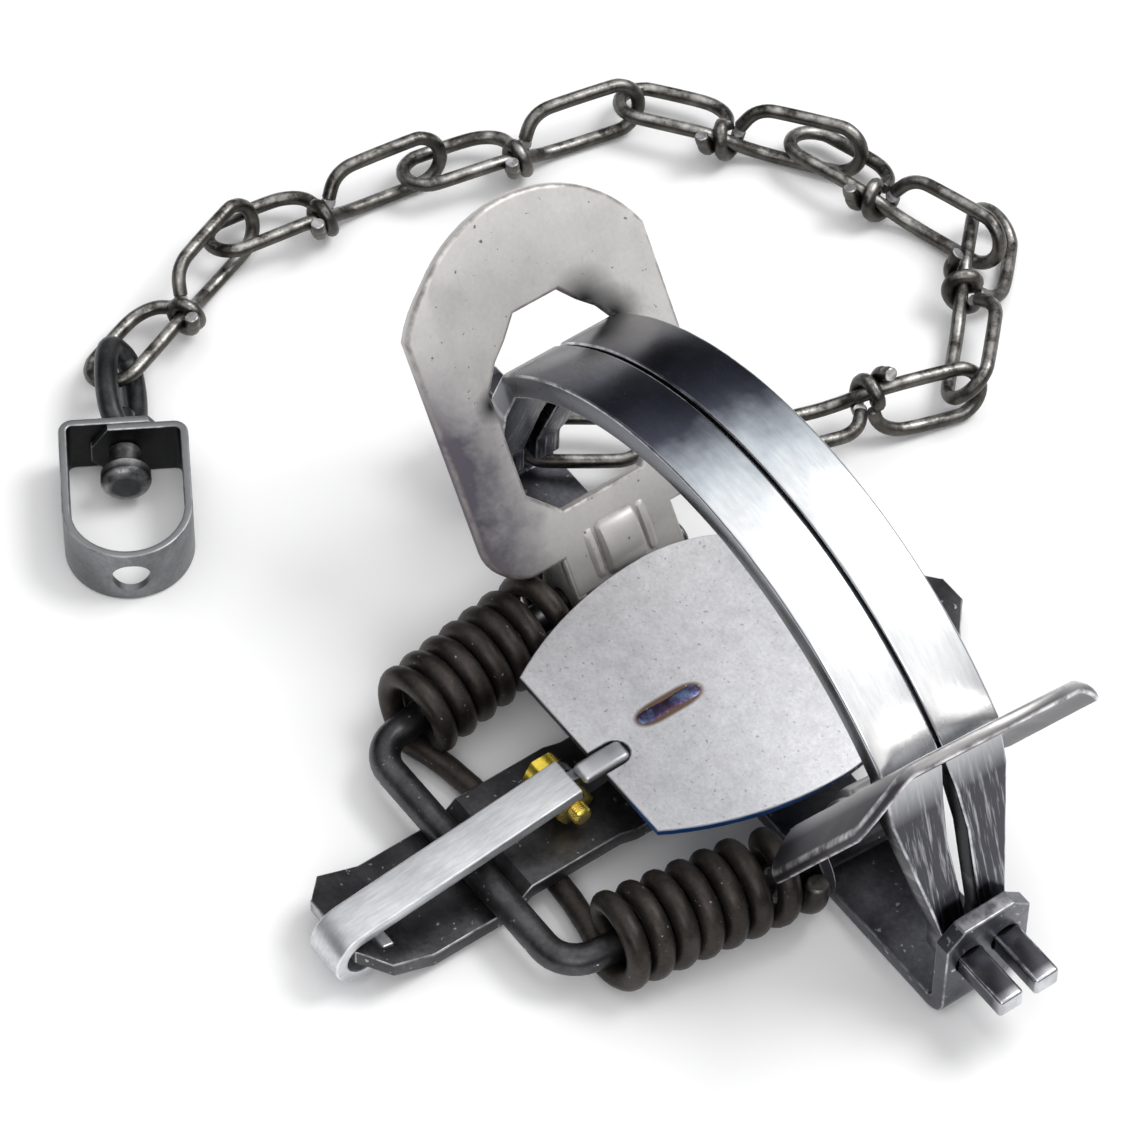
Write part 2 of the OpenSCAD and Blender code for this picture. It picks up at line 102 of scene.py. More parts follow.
def curve(points, steps):
    """Smooth line through points."""
    pts = [Vector(p) for p in points]
    pts = [2 * pts[0] - pts[1]] + pts + [2 * pts[-1] - pts[-2]]
    out = []
    for a, b, c, d in zip(pts, pts[1:], pts[2:], pts[3:]):
        for k in range(steps):
            t = k / steps
            square, cube = 2 * a - 5 * b + 4 * c - d, 3 * b - a - 3 * c + d
            out.append(0.5 * (2 * b + (c - a) * t + square * t * t + cube * t ** 3))
    return out + [pts[-2]]


def between(table, at):
    """Value at a place in a list of (place, value), straight in between and level past its ends."""
    if at <= table[0][0]:
        return table[0][1]
    for (a, va), (b, vb) in zip(table, table[1:]):
        if at <= b:
            return va + (vb - va) * (at - a) / (b - a)
    return table[-1][1]


# Mesh building

class Shape:
    """Points, faces and how worn each point is, before they become a mesh; at the back lever's boss grooves
    the worn flag stands for painted shade.
    """

    def __init__(self):
        self.points, self.faces, self.wear_and_shade = [], [], []

    def add(self, points, faces, wear_and_shade):
        first = len(self.points)
        self.points += [Vector(p) for p in points]
        self.faces += [tuple(first + i for i in f) for f in faces]
        self.wear_and_shade += list(wear_and_shade)
        return self

    def join(self, other):
        return self.add(other.points, other.faces, other.wear_and_shade)

    def moved(self, matrix):
        out = Shape()
        return out.add([matrix @ p for p in self.points], self.faces, self.wear_and_shade)


def skin(rings, closed=False):
    """Shape through rings of (point, wear), with flat ends unless the rings close on themselves."""
    count, n = len(rings), len(rings[0])
    faces = []
    for i in range(count if closed else count - 1):
        j = (i + 1) % count
        faces += [(i * n + k, i * n + (k + 1) % n, j * n + (k + 1) % n, j * n + k) for k in range(n)]
    if not closed:
        faces += [tuple(range(n))[::-1], tuple((count - 1) * n + k for k in range(n))]
    flat = [pw for ring in rings for pw in ring]
    return Shape().add([p for p, _ in flat], faces, [w for _, w in flat])


def section(half_w, half_t, radius, steps=3):
    """Rectangle with rounded corners as (across, up, wear); only the middle of a corner is worn."""
    out = []
    for sx, sy, start in ((1, 1, 0), (-1, 1, 90), (-1, -1, 180), (1, -1, 270)):
        for k in range(steps + 1):
            a = math.radians(start + 90 * k / steps)
            out.append((sx * (half_w - radius) + radius * math.cos(a),
                        sy * (half_t - radius) + radius * math.sin(a), 1.0 if 0 < k < steps else 0.0))
    return out


def directions(path, closed=False):
    """Unit direction of a path at each of its points."""
    n = len(path)
    if closed:
        return [(path[(i + 1) % n] - path[i - 1]).normalized() for i in range(n)]
    return [(path[min(i + 1, n - 1)] - path[max(i - 1, 0)]).normalized() for i in range(n)]


def strip(path, across, spans, thick, radius=0.4, up=None):
    """Metal strip bent along a flat path. spans holds its reach along across at each point, low then high."""
    path = [Vector(p) for p in path]
    along = directions(path)
    stations = list(zip(path, along, spans, [0.0] * len(path)))
    head, tail = [], []
    for a in (0, 30, 60):
        inset = radius * (1 - math.sin(math.radians(a)))
        shift = radius * (1 - math.cos(math.radians(a)))
        head.append((path[0] + along[0] * shift, along[0], spans[0], inset))
        tail.append((path[-1] - along[-1] * shift, along[-1], spans[-1], inset))
    first = (path[0] + along[0] * radius, along[0], spans[0], 0.0)
    last = (path[-1] - along[-1] * radius, along[-1], spans[-1], 0.0)
    rings = []
    for point, tangent, (low, high), inset in head + [first] + stations[1:-1] + [last] + tail[::-1]:
        lift = up if up is not None else across.cross(tangent).normalized()
        middle = point + across * ((low + high) / 2)
        ring = section((high - low) / 2 - inset, thick / 2 - inset, max(radius - inset, 0.05))
        rings.append([(middle + across * a + lift * b, 1.0 if inset else w) for a, b, w in ring])
    return skin(rings)


def tube(path, radius, sides=14, closed=False, end_round=0.5):
    """Round wire along a path, with its ends a little broken."""
    path = [Vector(p) for p in path]
    along = directions(path, closed)
    side = along[0].orthogonal().normalized()
    if closed:
        side = (along[0].cross(Z) if abs(along[0].z) < 0.9 else along[0].cross(X)).normalized()
    frames = []
    for p, t in zip(path, along):
        side = (side - t * side.dot(t)).normalized()
        frames.append((p, t, side, radius))
    if not closed:
        p0, t0, s0, r0 = frames[0]
        p1, t1, s1, r1 = frames[-1]
        frames[0] = (p0 + t0 * end_round, t0, s0, r0)
        frames[-1] = (p1 - t1 * end_round, t1, s1, r1)
        frames = [(p0, t0, s0, r0 - end_round)] + frames + [(p1, t1, s1, r1 - end_round)]
    rings = []
    for p, t, s, r in frames:
        u = t.cross(s)
        rings.append([(p + (s * math.cos(math.tau * k / sides) + u * math.sin(math.tau * k / sides)) * r,
                       1.0 if r < radius else 0.0) for k in range(sides)])
    return skin(rings, closed)


def lathe(profile, sides=32):
    """Turned shape about the X axis from (x, radius, wear)."""
    return skin([[(Vector((x, r * math.cos(math.tau * k / sides), r * math.sin(math.tau * k / sides))), w)
                  for k in range(sides)] for x, r, w in profile])


def hexagon(x0, x1, radius, chamfer=0.5):
    """Hexagonal head along X whose corners are broken and turned off at both ends."""
    rings = []
    for x, inset in ((x0, chamfer), (x0 + chamfer * 0.6, 0), (x1 - chamfer * 0.6, 0), (x1, chamfer)):
        ring, reach = [], radius - inset - 0.06
        for a in (math.radians(60 * k + off) for k in range(6) for off in (-4, 4)):
            ring.append((Vector((x, reach * math.cos(a), reach * math.sin(a))), 1.0 if inset else 0.0))
        rings.append(ring)
    return skin(rings)


def offset_loop(loop, by):
    """Closed outline moved to its left by a distance."""
    n, out = len(loop), []
    for i in range(n):
        a, b, c = (Vector(loop[j % n]) for j in (i - 1, i, i + 1))
        d0, d1 = (b - a).normalized(), (c - b).normalized()
        n0, n1 = Vector((-d0.y, d0.x)), Vector((-d1.y, d1.x))
        m = (n0 + n1).normalized()
        out.append(b + m * (by / max(0.35, m.dot(n0))))
    return out


def turned(loop, left):
    """The loop run so that its inside is on the left, or on the right."""
    area = sum(a[0] * b[1] - b[0] * a[1] for a, b in zip(loop, loop[1:] + loop[:1]))
    return loop if (area > 0) == left else loop[::-1]


def plate(outline, holes, z0, z1, radius=0.5, lines=()):
    """Flat plate between two heights, its edges and holes rolled; lines are y values where it can fold."""
    bm = bmesh.new()
    wear_and_shade = bm.verts.layers.float.new("wear_and_shade")
    caps = {z0: [], z1: []}
    for loop in [turned(outline, True)] + [turned(h, False) for h in holes]:
        rings = []
        for z, flip in ((z0, -1), (z1, 1)):
            steps = (0, 30, 60, 90) if flip < 0 else (90, 60, 30, 0)
            for a in steps:
                inset = radius * (1 - math.sin(math.radians(a)))
                height = z - flip * radius * (1 - math.cos(math.radians(a)))
                ring = []
                for p in offset_loop(loop, inset):
                    v = bm.verts.new((p[0], p[1], height))
                    v[wear_and_shade] = 1.0 if 0 < a < 90 else 0.0
                    ring.append(v)
                rings.append(ring)
        for r0, r1 in zip(rings, rings[1:]):
            for k in range(len(r0)):
                bm.faces.new((r0[k], r0[(k + 1) % len(r0)], r1[(k + 1) % len(r0)], r1[k]))
        caps[z0].append(rings[0])
        caps[z1].append(rings[-1])
    for loops in caps.values():
        edges = [bm.edges.get((v, ring[(k + 1) % len(ring)])) for ring in loops for k, v in enumerate(ring)]
        bmesh.ops.triangle_fill(bm, use_beauty=True, use_dissolve=False, edges=edges)
    for y in lines:
        everything = bm.verts[:] + bm.edges[:] + bm.faces[:]
        bmesh.ops.bisect_plane(bm, geom=everything, dist=0.0001, plane_co=(0, y, 0), plane_no=Y)
    bm.verts.index_update()
    out = Shape().add([v.co for v in bm.verts], [[v.index for v in f.verts] for f in bm.faces],
                      [v[wear_and_shade] for v in bm.verts])
    bm.free()
    return out


def link_object(name, data):
    """New object in the scene."""
    obj = bpy.data.objects.new(name, data)
    bpy.context.scene.collection.objects.link(obj)
    return obj


def to_mesh(name, shape):
    """Mesh in metres, smooth apart from its sharp edges."""
    mesh = bpy.data.meshes.new(name)
    mesh.from_pydata([p * MM for p in shape.points], [], shape.faces)
    worn = mesh.attributes.new("wear_and_shade", "FLOAT", "POINT")
    worn.data.foreach_set("value", shape.wear_and_shade)
    bm = bmesh.new()
    bm.from_mesh(mesh)
    bmesh.ops.recalc_face_normals(bm, faces=bm.faces)
    bm.to_mesh(mesh)
    bm.free()
    mesh.shade_smooth()
    mesh.set_sharp_from_angle(angle=SHARP)
    return mesh


def cut(obj, shapes):
    """Takes shapes out of an object's mesh."""
    for shape in shapes:
        tool = link_object("cutter", to_mesh("cutter", shape))
        step = obj.modifiers.new("cut", "BOOLEAN")
        step.object, step.operation, step.solver = tool, "DIFFERENCE", "EXACT"
        ready = obj.evaluated_get(bpy.context.evaluated_depsgraph_get())
        mesh = bpy.data.meshes.new_from_object(ready)
        obj.modifiers.clear()
        obj.data = mesh
        bpy.data.objects.remove(tool)
    obj.data.set_sharp_from_angle(angle=SHARP)


def drill(centre, axis, radius):
    """Round cutter along an axis, through one thickness of strip."""
    turn = X.rotation_difference(Vector(axis)).to_matrix().to_4x4()
    shape = lathe([(-THROUGH / 2, radius, 0), (THROUGH / 2, radius, 0)], 40)
    return shape.moved(Matrix.Translation(centre) @ turn)


def block(low, high):
    """Cutter between two corners."""
    y, z, half = (low[1] + high[1]) / 2, (low[2] + high[2]) / 2, (high[1] - low[1]) / 2
    ends = [Vector((x, y, z)) for x in (low[0], high[0])]
    return strip(ends, Y, [(-half, half)] * 2, high[2] - low[2], 0.05)


def piece(name, shape, material, body, nodes, cuts=()):
    """A finished piece that rides on a body and stands for CAD nodes."""
    obj = link_object(name, to_mesh(name, shape))
    if cuts:
        cut(obj, cuts)
    obj.data.materials.clear()
    obj.data.materials.append(material)
    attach(obj, body)
    if nodes:
        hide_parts(*nodes)


# Materials

def ramp(nodes, stops):
    """Colour ramp through stops of (place, colour)."""
    node = nodes.new("ShaderNodeValToRGB")
    while len(node.color_ramp.elements) < len(stops):
        node.color_ramp.elements.new(0.5)
    for element, (place, colour) in zip(node.color_ramp.elements, stops):
        element.position = place
        element.color = (*colour, 1)
    return node


def noise(nodes, links, vector, scale, detail=4.0, rough=0.6):
    node = nodes.new("ShaderNodeTexNoise")
    node.inputs["Scale"].default_value = scale
    node.inputs["Detail"].default_value = detail
    node.inputs["Roughness"].default_value = rough
    links.new(vector, node.inputs["Vector"])
    return node.outputs["Fac"]


def scaled(nodes, links, value, low, high, into=(0.3, 0.7)):
    """Value mapped from the range into to the range low to high, and kept within it."""
    node = nodes.new("ShaderNodeMapRange")
    for key, number in zip(("From Min", "From Max", "To Min", "To Max"), (*into, low, high)):
        node.inputs[key].default_value = number
    links.new(value, node.inputs["Value"])
    return node.outputs["Result"]


def mixed(nodes, links, factor, a, b, blend="MIX"):
    """Colour mix; a and b are sockets or colours."""
    node = nodes.new("ShaderNodeMix")
    node.data_type, node.blend_type = "RGBA", blend
    for socket, value in ((node.inputs[0], factor), (node.inputs[6], a), (node.inputs[7], b)):
        if isinstance(value, bpy.types.NodeSocket):
            links.new(value, socket)
        elif isinstance(value, tuple):
            socket.default_value = (*value, 1)
        else:
            socket.default_value = value
    return node.outputs[2]


def steel(name, dark, mid, light, rough=(0.25, 0.45), blotch=60.0, grain=900.0, stretch=(1, 1, 1),
          worn=None, bump=0.15, extra=None, metallic=1.0, speck=(0.84, 1.12), flecks=None):
    """Metal with broad blotches, fine grain, scattered flecks and recoloured broken edges, mostly paler; on
    the back lever that edge colour is dark and also paints shade in the grooves round its boss.
    """
    material = bpy.data.materials.new(name)
    material.use_nodes = True
    nodes, links = material.node_tree.nodes, material.node_tree.links
    shader = nodes["Principled BSDF"]
    shader.inputs["Metallic"].default_value = metallic
    where = nodes.new("ShaderNodeTexCoord").outputs["Object"]
    mapping = nodes.new("ShaderNodeMapping")
    mapping.inputs["Scale"].default_value = stretch
    links.new(where, mapping.inputs["Vector"])
    broad = noise(nodes, links, where, blotch, 5.0, 0.62)
    fine = noise(nodes, links, mapping.outputs["Vector"], grain, 3.0, 0.7)
    tone = ramp(nodes, [(0.32, dark), (0.5, mid), (0.68, light)])
    links.new(broad, tone.inputs["Fac"])
    grey = nodes.new("ShaderNodeCombineColor")
    for channel in ("Red", "Green", "Blue"):
        links.new(scaled(nodes, links, fine, *speck), grey.inputs[channel])
    colour = mixed(nodes, links, 1.0, tone.outputs["Color"], grey.outputs["Color"], "MULTIPLY")
    if extra:
        colour = extra(nodes, links, where, colour)
    if flecks:
        spots = scaled(nodes, links, noise(nodes, links, where, flecks[0], 2.0, 0.5), 0.0, 1.0, flecks[1])
        colour = mixed(nodes, links, spots, colour, flecks[2])
    if worn:
        # Worn colour on broken edges; on the back lever's boss grooves it is painted shade.
        attribute = nodes.new("ShaderNodeAttribute")
        attribute.attribute_name = "wear_and_shade"
        rub_and_shade_mask = scaled(nodes, links, noise(nodes, links, where, 260.0), 0.15, 1.0, (0.38, 0.6))
        rub_and_shade_mask = product(nodes, links, attribute.outputs["Fac"], rub_and_shade_mask)
        colour = mixed(nodes, links, rub_and_shade_mask, colour, worn)
    links.new(colour, shader.inputs["Base Color"])
    links.new(scaled(nodes, links, broad, *rough), shader.inputs["Roughness"])
    relief = nodes.new("ShaderNodeBump")
    relief.inputs["Strength"].default_value = bump
    relief.inputs["Distance"].default_value = 0.2 * MM
    links.new(fine, relief.inputs["Height"])
    links.new(relief.outputs["Normal"], shader.inputs["Normal"])
    return material


def product(nodes, links, a, b):
    """One value times another."""
    node = nodes.new("ShaderNodeMath")
    node.operation = "MULTIPLY"
    links.new(a, node.inputs[0])
    links.new(b, node.inputs[1])
    return node.outputs[0]


def along(nodes, links, where, start, direction):
    """How far a point lies from a start along a direction; both in millimetres, the result too."""
    less = nodes.new("ShaderNodeVectorMath")
    less.operation = "SUBTRACT"
    links.new(where, less.inputs[0])
    less.inputs[1].default_value = Vector(start) * MM
    dot = nodes.new("ShaderNodeVectorMath")
    dot.operation = "DOT_PRODUCT"
    links.new(less.outputs[0], dot.inputs[0])
    dot.inputs[1].default_value = Vector(direction).normalized() / MM
    return dot.outputs["Value"]


def faces_up(nodes, links):
    """Upward part of the surface normal."""
    split = nodes.new("ShaderNodeSeparateXYZ")
    links.new(nodes.new("ShaderNodeNewGeometry").outputs["Normal"], split.inputs[0])
    return split.outputs["Z"]


def jaw_tone(nodes, links, where, colour):
    """Painted reflection along the bow, near black at the back and white towards the front; painted shade on
    the faces that look sideways; darker down the legs, with scuffed streaks on them.
    """
    x = along(nodes, links, where, (0, 0, 0), X)
    z = along(nodes, links, where, (0, 0, 0), Z)
    wave = scaled(nodes, links, noise(nodes, links, where, 45.0), -9, 9, (0.3, 0.7))
    shifted = nodes.new("ShaderNodeMath")
    links.new(x, shifted.inputs[0])
    links.new(wave, shifted.inputs[1])
    # Painted reflection: dark surroundings mirrored over the back of the bow, bright ones towards the front.
    blue = ramp(nodes, [(0.0, (0.17, 0.165, 0.17)), (0.2, (0.11, 0.105, 0.115)),
                        (0.38, (0.06, 0.065, 0.085)), (0.6, (0.13, 0.14, 0.18)),
                        (0.8, (0.75, 0.8, 0.84)), (0.9, (1, 1, 1))])
    links.new(scaled(nodes, links, shifted.outputs[0], 0.0, 1.0, (-66, 22)), blue.inputs["Fac"])
    colour = mixed(nodes, links, 1.0, colour, blue.outputs["Color"], "MULTIPLY")
    # Painted shade: faces that look sideways along Y are drawn darker grey-blue.
    side = nodes.new("ShaderNodeMath")
    side.operation = "ABSOLUTE"
    split = nodes.new("ShaderNodeSeparateXYZ")
    links.new(nodes.new("ShaderNodeNewGeometry").outputs["True Normal"], split.inputs[0])
    links.new(split.outputs["Y"], side.inputs[0])
    flank = scaled(nodes, links, side.outputs[0], 0.0, 0.85, (0.6, 0.95))
    colour = mixed(nodes, links, flank, colour, (0.16, 0.165, 0.18))
    low = scaled(nodes, links, z, 1.0, 0.0, LEG_FADE)
    colour = mixed(nodes, links, low, colour, (0.065, 0.065, 0.075))
    streak = nodes.new("ShaderNodeMapping")
    streak.inputs["Scale"].default_value = (0.25, 3.0, 0.25)
    links.new(where, streak.inputs["Vector"])
    scratches = noise(nodes, links, streak.outputs["Vector"], 420.0, 3.0, 0.6)
    scuff = scaled(nodes, links, scratches, 0.0, 0.55, (0.52, 0.68))
    reach = nodes.new("ShaderNodeMath")
    reach.operation = "ABSOLUTE"
    links.new(x, reach.inputs[0])
    on_leg = scaled(nodes, links, reach.outputs[0], 1.0, 0.0, (LEG_END - 1, LEG_END + 1))
    scuff = product(nodes, links, product(nodes, links, scuff, on_leg), low)
    colour = mixed(nodes, links, scuff, colour, (0.5, 0.5, 0.52))
    tip = scaled(nodes, links, reach.outputs[0], 0.0, 0.6, (PEG_REACH - 2.5, PEG_REACH - 0.4))
    return mixed(nodes, links, tip, colour, (0.6, 0.6, 0.6))


def spot(nodes, links, where, centre, radius):
    """One at a point and nothing past a radius from it."""
    gap = nodes.new("ShaderNodeVectorMath")
    gap.operation = "DISTANCE"
    links.new(where, gap.inputs[0])
    gap.inputs[1].default_value = Vector(centre) * MM
    return scaled(nodes, links, gap.outputs["Value"], 1.0, 0.0, (0.15 * radius * MM, radius * MM))


def on_back_lever(h, y):
    """Point on the upper face of the back lever: h up the plate, y across."""
    lean = math.radians(LEVER_LEAN)
    return Vector((-LEVER_X - (h - FOOT) * math.cos(lean) + PLATE_IN * math.sin(lean), y,
                   LEVER_Z + (h - FOOT) * math.sin(lean) + PLATE_IN * math.cos(lean)))


def lever_tone(nodes, links, where, colour):
    """Painted shade in purple-grey along the side by the dog, where it bends away; darker towards the foot;
    painted shadow in dark spots where the jaws shade the plate.
    """
    y = along(nodes, links, where, (0, 0, 0), Y)
    h = along(nodes, links, where, (-LEVER_X, 0, LEVER_Z), on_back_lever(1, 0) - on_back_lever(0, 0))
    wave = scaled(nodes, links, noise(nodes, links, where, 90.0, 4.0, 0.7), -3, 3, (0.3, 0.7))
    shifted = nodes.new("ShaderNodeMath")
    links.new(y, shifted.inputs[0])
    links.new(wave, shifted.inputs[1])
    # Painted shade: the purple-grey band along the bent side by the dog.
    side = product(nodes, links, scaled(nodes, links, shifted.outputs[0], 1.0, 0.0, (-24, -13)),
                   scaled(nodes, links, h, 1.0, 0.0, (42, 62)))
    colour = mixed(nodes, links, side, colour, (0.125, 0.113, 0.14))
    low = scaled(nodes, links, h, 0.55, 0.0, (6, 24))
    colour = mixed(nodes, links, low, colour, (0.24, 0.225, 0.22))
    smudge = scaled(nodes, links, noise(nodes, links, where, 75.0, 6.0, 0.75), 0.0, 0.45, (0.58, 0.76))
    colour = mixed(nodes, links, smudge, colour, (0.32, 0.29, 0.28))
    # Painted shadow: near-black spots on the plate beside the jaws.
    for up, across, size in ((57, 9, 8.5), (52, 14, 7), (48, -15.5, 4)):
        painted_shadow = spot(nodes, links, where, on_back_lever(up, across), size)
        colour = mixed(nodes, links, painted_shadow, colour, (0.02, 0.02, 0.023))
    return colour


def front_tone(nodes, links, where, colour):
    """Satin like the other lever on the face towards the pan; its bent sides and its back keep the near-black
    base colour, a painted shade.
    """
    depth = along(nodes, links, where, front.translation, front.to_3x3() @ Z)
    inner = scaled(nodes, links, depth, 0.0, 0.92, (PLATE_IN - 2.4, PLATE_IN - 0.1))
    return mixed(nodes, links, inner, colour, (0.62, 0.605, 0.59))


def pan_tone(nodes, links, where, colour):
    """Brown halo round the weld, painted shade that turns the pan's edge nearly black all round, and blue
    heat tint on the curved edge near the dog.
    """
    off_x = scaled(nodes, links, along(nodes, links, where, WELD_AT, X), -1.0, 1.0, (-2.7, 2.7))
    reach = WELD_HALF + 0.8
    off_y = scaled(nodes, links, along(nodes, links, where, WELD_AT, Y), -1.0, 1.0, (-reach, reach))
    power = nodes.new("ShaderNodeMath")
    power.operation = "POWER"
    power.inputs[1].default_value = 2.0
    squared = product(nodes, links, off_y, off_y)
    links.new(squared, power.inputs[0])
    squares = nodes.new("ShaderNodeMath")
    links.new(product(nodes, links, off_x, off_x), squares.inputs[0])
    links.new(power.outputs[0], squares.inputs[1])
    halo = scaled(nodes, links, squares.outputs[0], 0.92, 0.0, (0.6, 1.0))
    colour = mixed(nodes, links, halo, colour, (0.12, 0.055, 0.018))
    rim = scaled(nodes, links, faces_up(nodes, links), 1.0, 0.0, (0.55, 0.9))
    by_dog = scaled(nodes, links, along(nodes, links, where, (0, 0, 0), Y), 1.0, 0.0, (-14, 4))
    by_front = scaled(nodes, links, along(nodes, links, where, (0, 0, 0), X), 0.0, 1.0, (12, 16))
    near = product(nodes, links, by_dog, by_front)
    # Painted shade: edge faces that do not look up are drawn nearly black.
    colour = mixed(nodes, links, rim, colour, (0.05, 0.05, 0.055))
    return mixed(nodes, links, product(nodes, links, rim, near), colour, (0.02, 0.1, 0.36))


def bar_tone(nodes, links, where, colour):
    """Paler above the pan's underside, along the bar in the pan's notch."""
    high = scaled(nodes, links, along(nodes, links, where, (0, 0, PAN_Z - PAN_T), Z), 0.0, 0.9, (0, 0.6))
    return mixed(nodes, links, high, colour, (0.58, 0.585, 0.61))


def stirrup_tone(nodes, links, where, colour):
    """Nearly black where the eye comes through, grey round the bow, and pale along its upper edge from a
    painted highlight on faces that look up.
    """
    axis = (math.cos(math.radians(SWIVEL_HEAD)), math.sin(math.radians(SWIVEL_HEAD)), 0)
    far = along(nodes, links, where, SWIVEL_AT, axis)
    black = scaled(nodes, links, far, 0.92, 0.0, (3, 9))
    colour = mixed(nodes, links, black, colour, (0.016, 0.016, 0.017))
    # Painted highlight: faces that look up are drawn paler.
    top = scaled(nodes, links, faces_up(nodes, links), 0.0, 0.75, (0.4, 0.9))
    return mixed(nodes, links, top, colour, (0.27, 0.275, 0.285))


def chain_tone(nodes, links, where, colour):
    """Painted highlight in patches where the wire faces up."""
    # Painted highlight: upward faces of the wire drawn pale, broken into noisy patches.
    upper = scaled(nodes, links, faces_up(nodes, links), 0.0, 1.0, (0.45, 0.95))
    patches = scaled(nodes, links, noise(nodes, links, where, 210.0, 5.0, 0.7), 0.0, 0.9, (0.42, 0.66))
    return mixed(nodes, links, product(nodes, links, upper, patches), colour, (0.6, 0.59, 0.56))


WELD_AT, WELD_HALF = (-0.4, -15.9, PAN_Z), 7.2
LEG_FADE, LEG_END = (46, 60), 70
jaw_steel = steel(
    "jaw_steel", (0.74, 0.75, 0.77), (0.82, 0.83, 0.84), (0.88, 0.88, 0.89), rough=(0.2, 0.3),
    blotch=42.0, grain=700.0, stretch=(0.25, 1.6, 0.25), worn=(0.62, 0.63, 0.66), bump=0.06,
    extra=jaw_tone, speck=(0.9, 1.06))
# Its worn colour is dark: it darkens the rolled edges, and in the grooves round the boss it is painted shade.
lever_steel = steel(
    "lever_steel", (0.6, 0.585, 0.565), (0.68, 0.665, 0.645), (0.74, 0.725, 0.71), rough=(0.42, 0.56),
    blotch=40.0, grain=1100.0, worn=(0.3, 0.27, 0.26), bump=0.1, extra=lever_tone, metallic=0.55,
    speck=(0.95, 1.04), flecks=(850.0, (0.71, 0.75), (0.2, 0.17, 0.16)))
# Painted shade: the front lever is drawn near black, apart from the face towards the pan that front_tone
# makes satin like the other lever.
lever_shaded = steel(
    "lever_shaded", (0.036, 0.033, 0.04), (0.054, 0.05, 0.058), (0.085, 0.08, 0.09), rough=(0.32, 0.46),
    blotch=50.0, grain=1100.0, worn=(0.78, 0.77, 0.78), bump=0.12, extra=front_tone, metallic=0.85)
frame_steel = steel(
    "frame_steel", (0.085, 0.087, 0.1), (0.13, 0.132, 0.15), (0.21, 0.212, 0.23), rough=(0.3, 0.46),
    blotch=70.0, worn=(0.5, 0.5, 0.52), bump=0.18, metallic=0.95, speck=(0.8, 1.15),
    flecks=(650.0, (0.68, 0.72), (0.5, 0.5, 0.5)))
arm_steel = steel(
    "arm_steel", (0.04, 0.039, 0.042), (0.065, 0.063, 0.067), (0.115, 0.113, 0.118),
    rough=(0.32, 0.48), blotch=70.0, worn=(0.42, 0.42, 0.43), bump=0.2, metallic=0.95,
    speck=(0.8, 1.15), flecks=(650.0, (0.68, 0.72), (0.4, 0.4, 0.4)))
pan_steel = steel(
    "pan_steel", (0.6, 0.6, 0.62), (0.66, 0.66, 0.68), (0.71, 0.71, 0.73), rough=(0.44, 0.54),
    blotch=260.0, grain=1500.0, worn=(0.34, 0.34, 0.36), bump=0.25, extra=pan_tone, metallic=0.55,
    speck=(0.88, 1.1), flecks=(900.0, (0.66, 0.72), (0.4, 0.4, 0.42)))
shank_steel = steel(
    "shank_steel", (0.22, 0.225, 0.25), (0.32, 0.325, 0.35), (0.42, 0.425, 0.45), rough=(0.32, 0.46),
    blotch=110.0, worn=(0.6, 0.6, 0.62), bump=0.2, extra=bar_tone, metallic=0.9)
dog_steel = steel(
    "dog_steel", (0.52, 0.53, 0.55), (0.6, 0.61, 0.63), (0.68, 0.69, 0.7), rough=(0.3, 0.42),
    blotch=70.0, stretch=(2, 0.2, 1), worn=(0.85, 0.85, 0.86), bump=0.12, metallic=0.8)
spring_steel = steel(
    "spring_steel", (0.024, 0.02, 0.018), (0.04, 0.034, 0.03), (0.062, 0.053, 0.047),
    rough=(0.36, 0.52), blotch=120.0, grain=1200.0, worn=(0.2, 0.19, 0.18), bump=0.2, metallic=0.75,
    speck=(0.8, 1.2), flecks=(1100.0, (0.72, 0.75), (0.34, 0.29, 0.26)))
rod_steel = steel(
    "rod_steel", (0.045, 0.044, 0.047), (0.07, 0.069, 0.073), (0.12, 0.119, 0.125), rough=(0.3, 0.46),
    blotch=90.0, worn=(0.45, 0.44, 0.43), metallic=0.95, speck=(0.8, 1.15),
    flecks=(600.0, (0.68, 0.72), (0.45, 0.45, 0.46)))
chain_steel = steel(
    "chain_steel", (0.04, 0.038, 0.034), (0.075, 0.07, 0.062), (0.15, 0.142, 0.128), rough=(0.3, 0.46),
    blotch=160.0, grain=1100.0, worn=(0.75, 0.75, 0.76), bump=0.25, extra=chain_tone, metallic=0.95)
swivel_steel = steel(
    "swivel_steel", (0.13, 0.134, 0.14), (0.18, 0.185, 0.192), (0.25, 0.257, 0.265),
    rough=(0.36, 0.52), blotch=120.0, worn=(0.5, 0.5, 0.5), bump=0.25, extra=stirrup_tone,
    metallic=0.9)
eye_steel = steel(
    "eye_steel", (0.025, 0.026, 0.028), (0.042, 0.043, 0.046), (0.085, 0.087, 0.09), rough=(0.32, 0.5),
    blotch=140.0, worn=(0.4, 0.4, 0.4), bump=0.25, metallic=0.9)
brass = steel(
    "brass", (0.66, 0.47, 0.05), (0.84, 0.64, 0.08), (0.9, 0.74, 0.14), rough=(0.22, 0.34),
    blotch=200.0, worn=(0.9, 0.75, 0.35), bump=0.08)
weld_tint = steel(
    "weld_tint", (0.08, 0.04, 0.05), (0.1, 0.09, 0.19), (0.22, 0.34, 0.55), rough=(0.25, 0.4),
    blotch=240.0, worn=(0.05, 0.018, 0.012), bump=0.3)


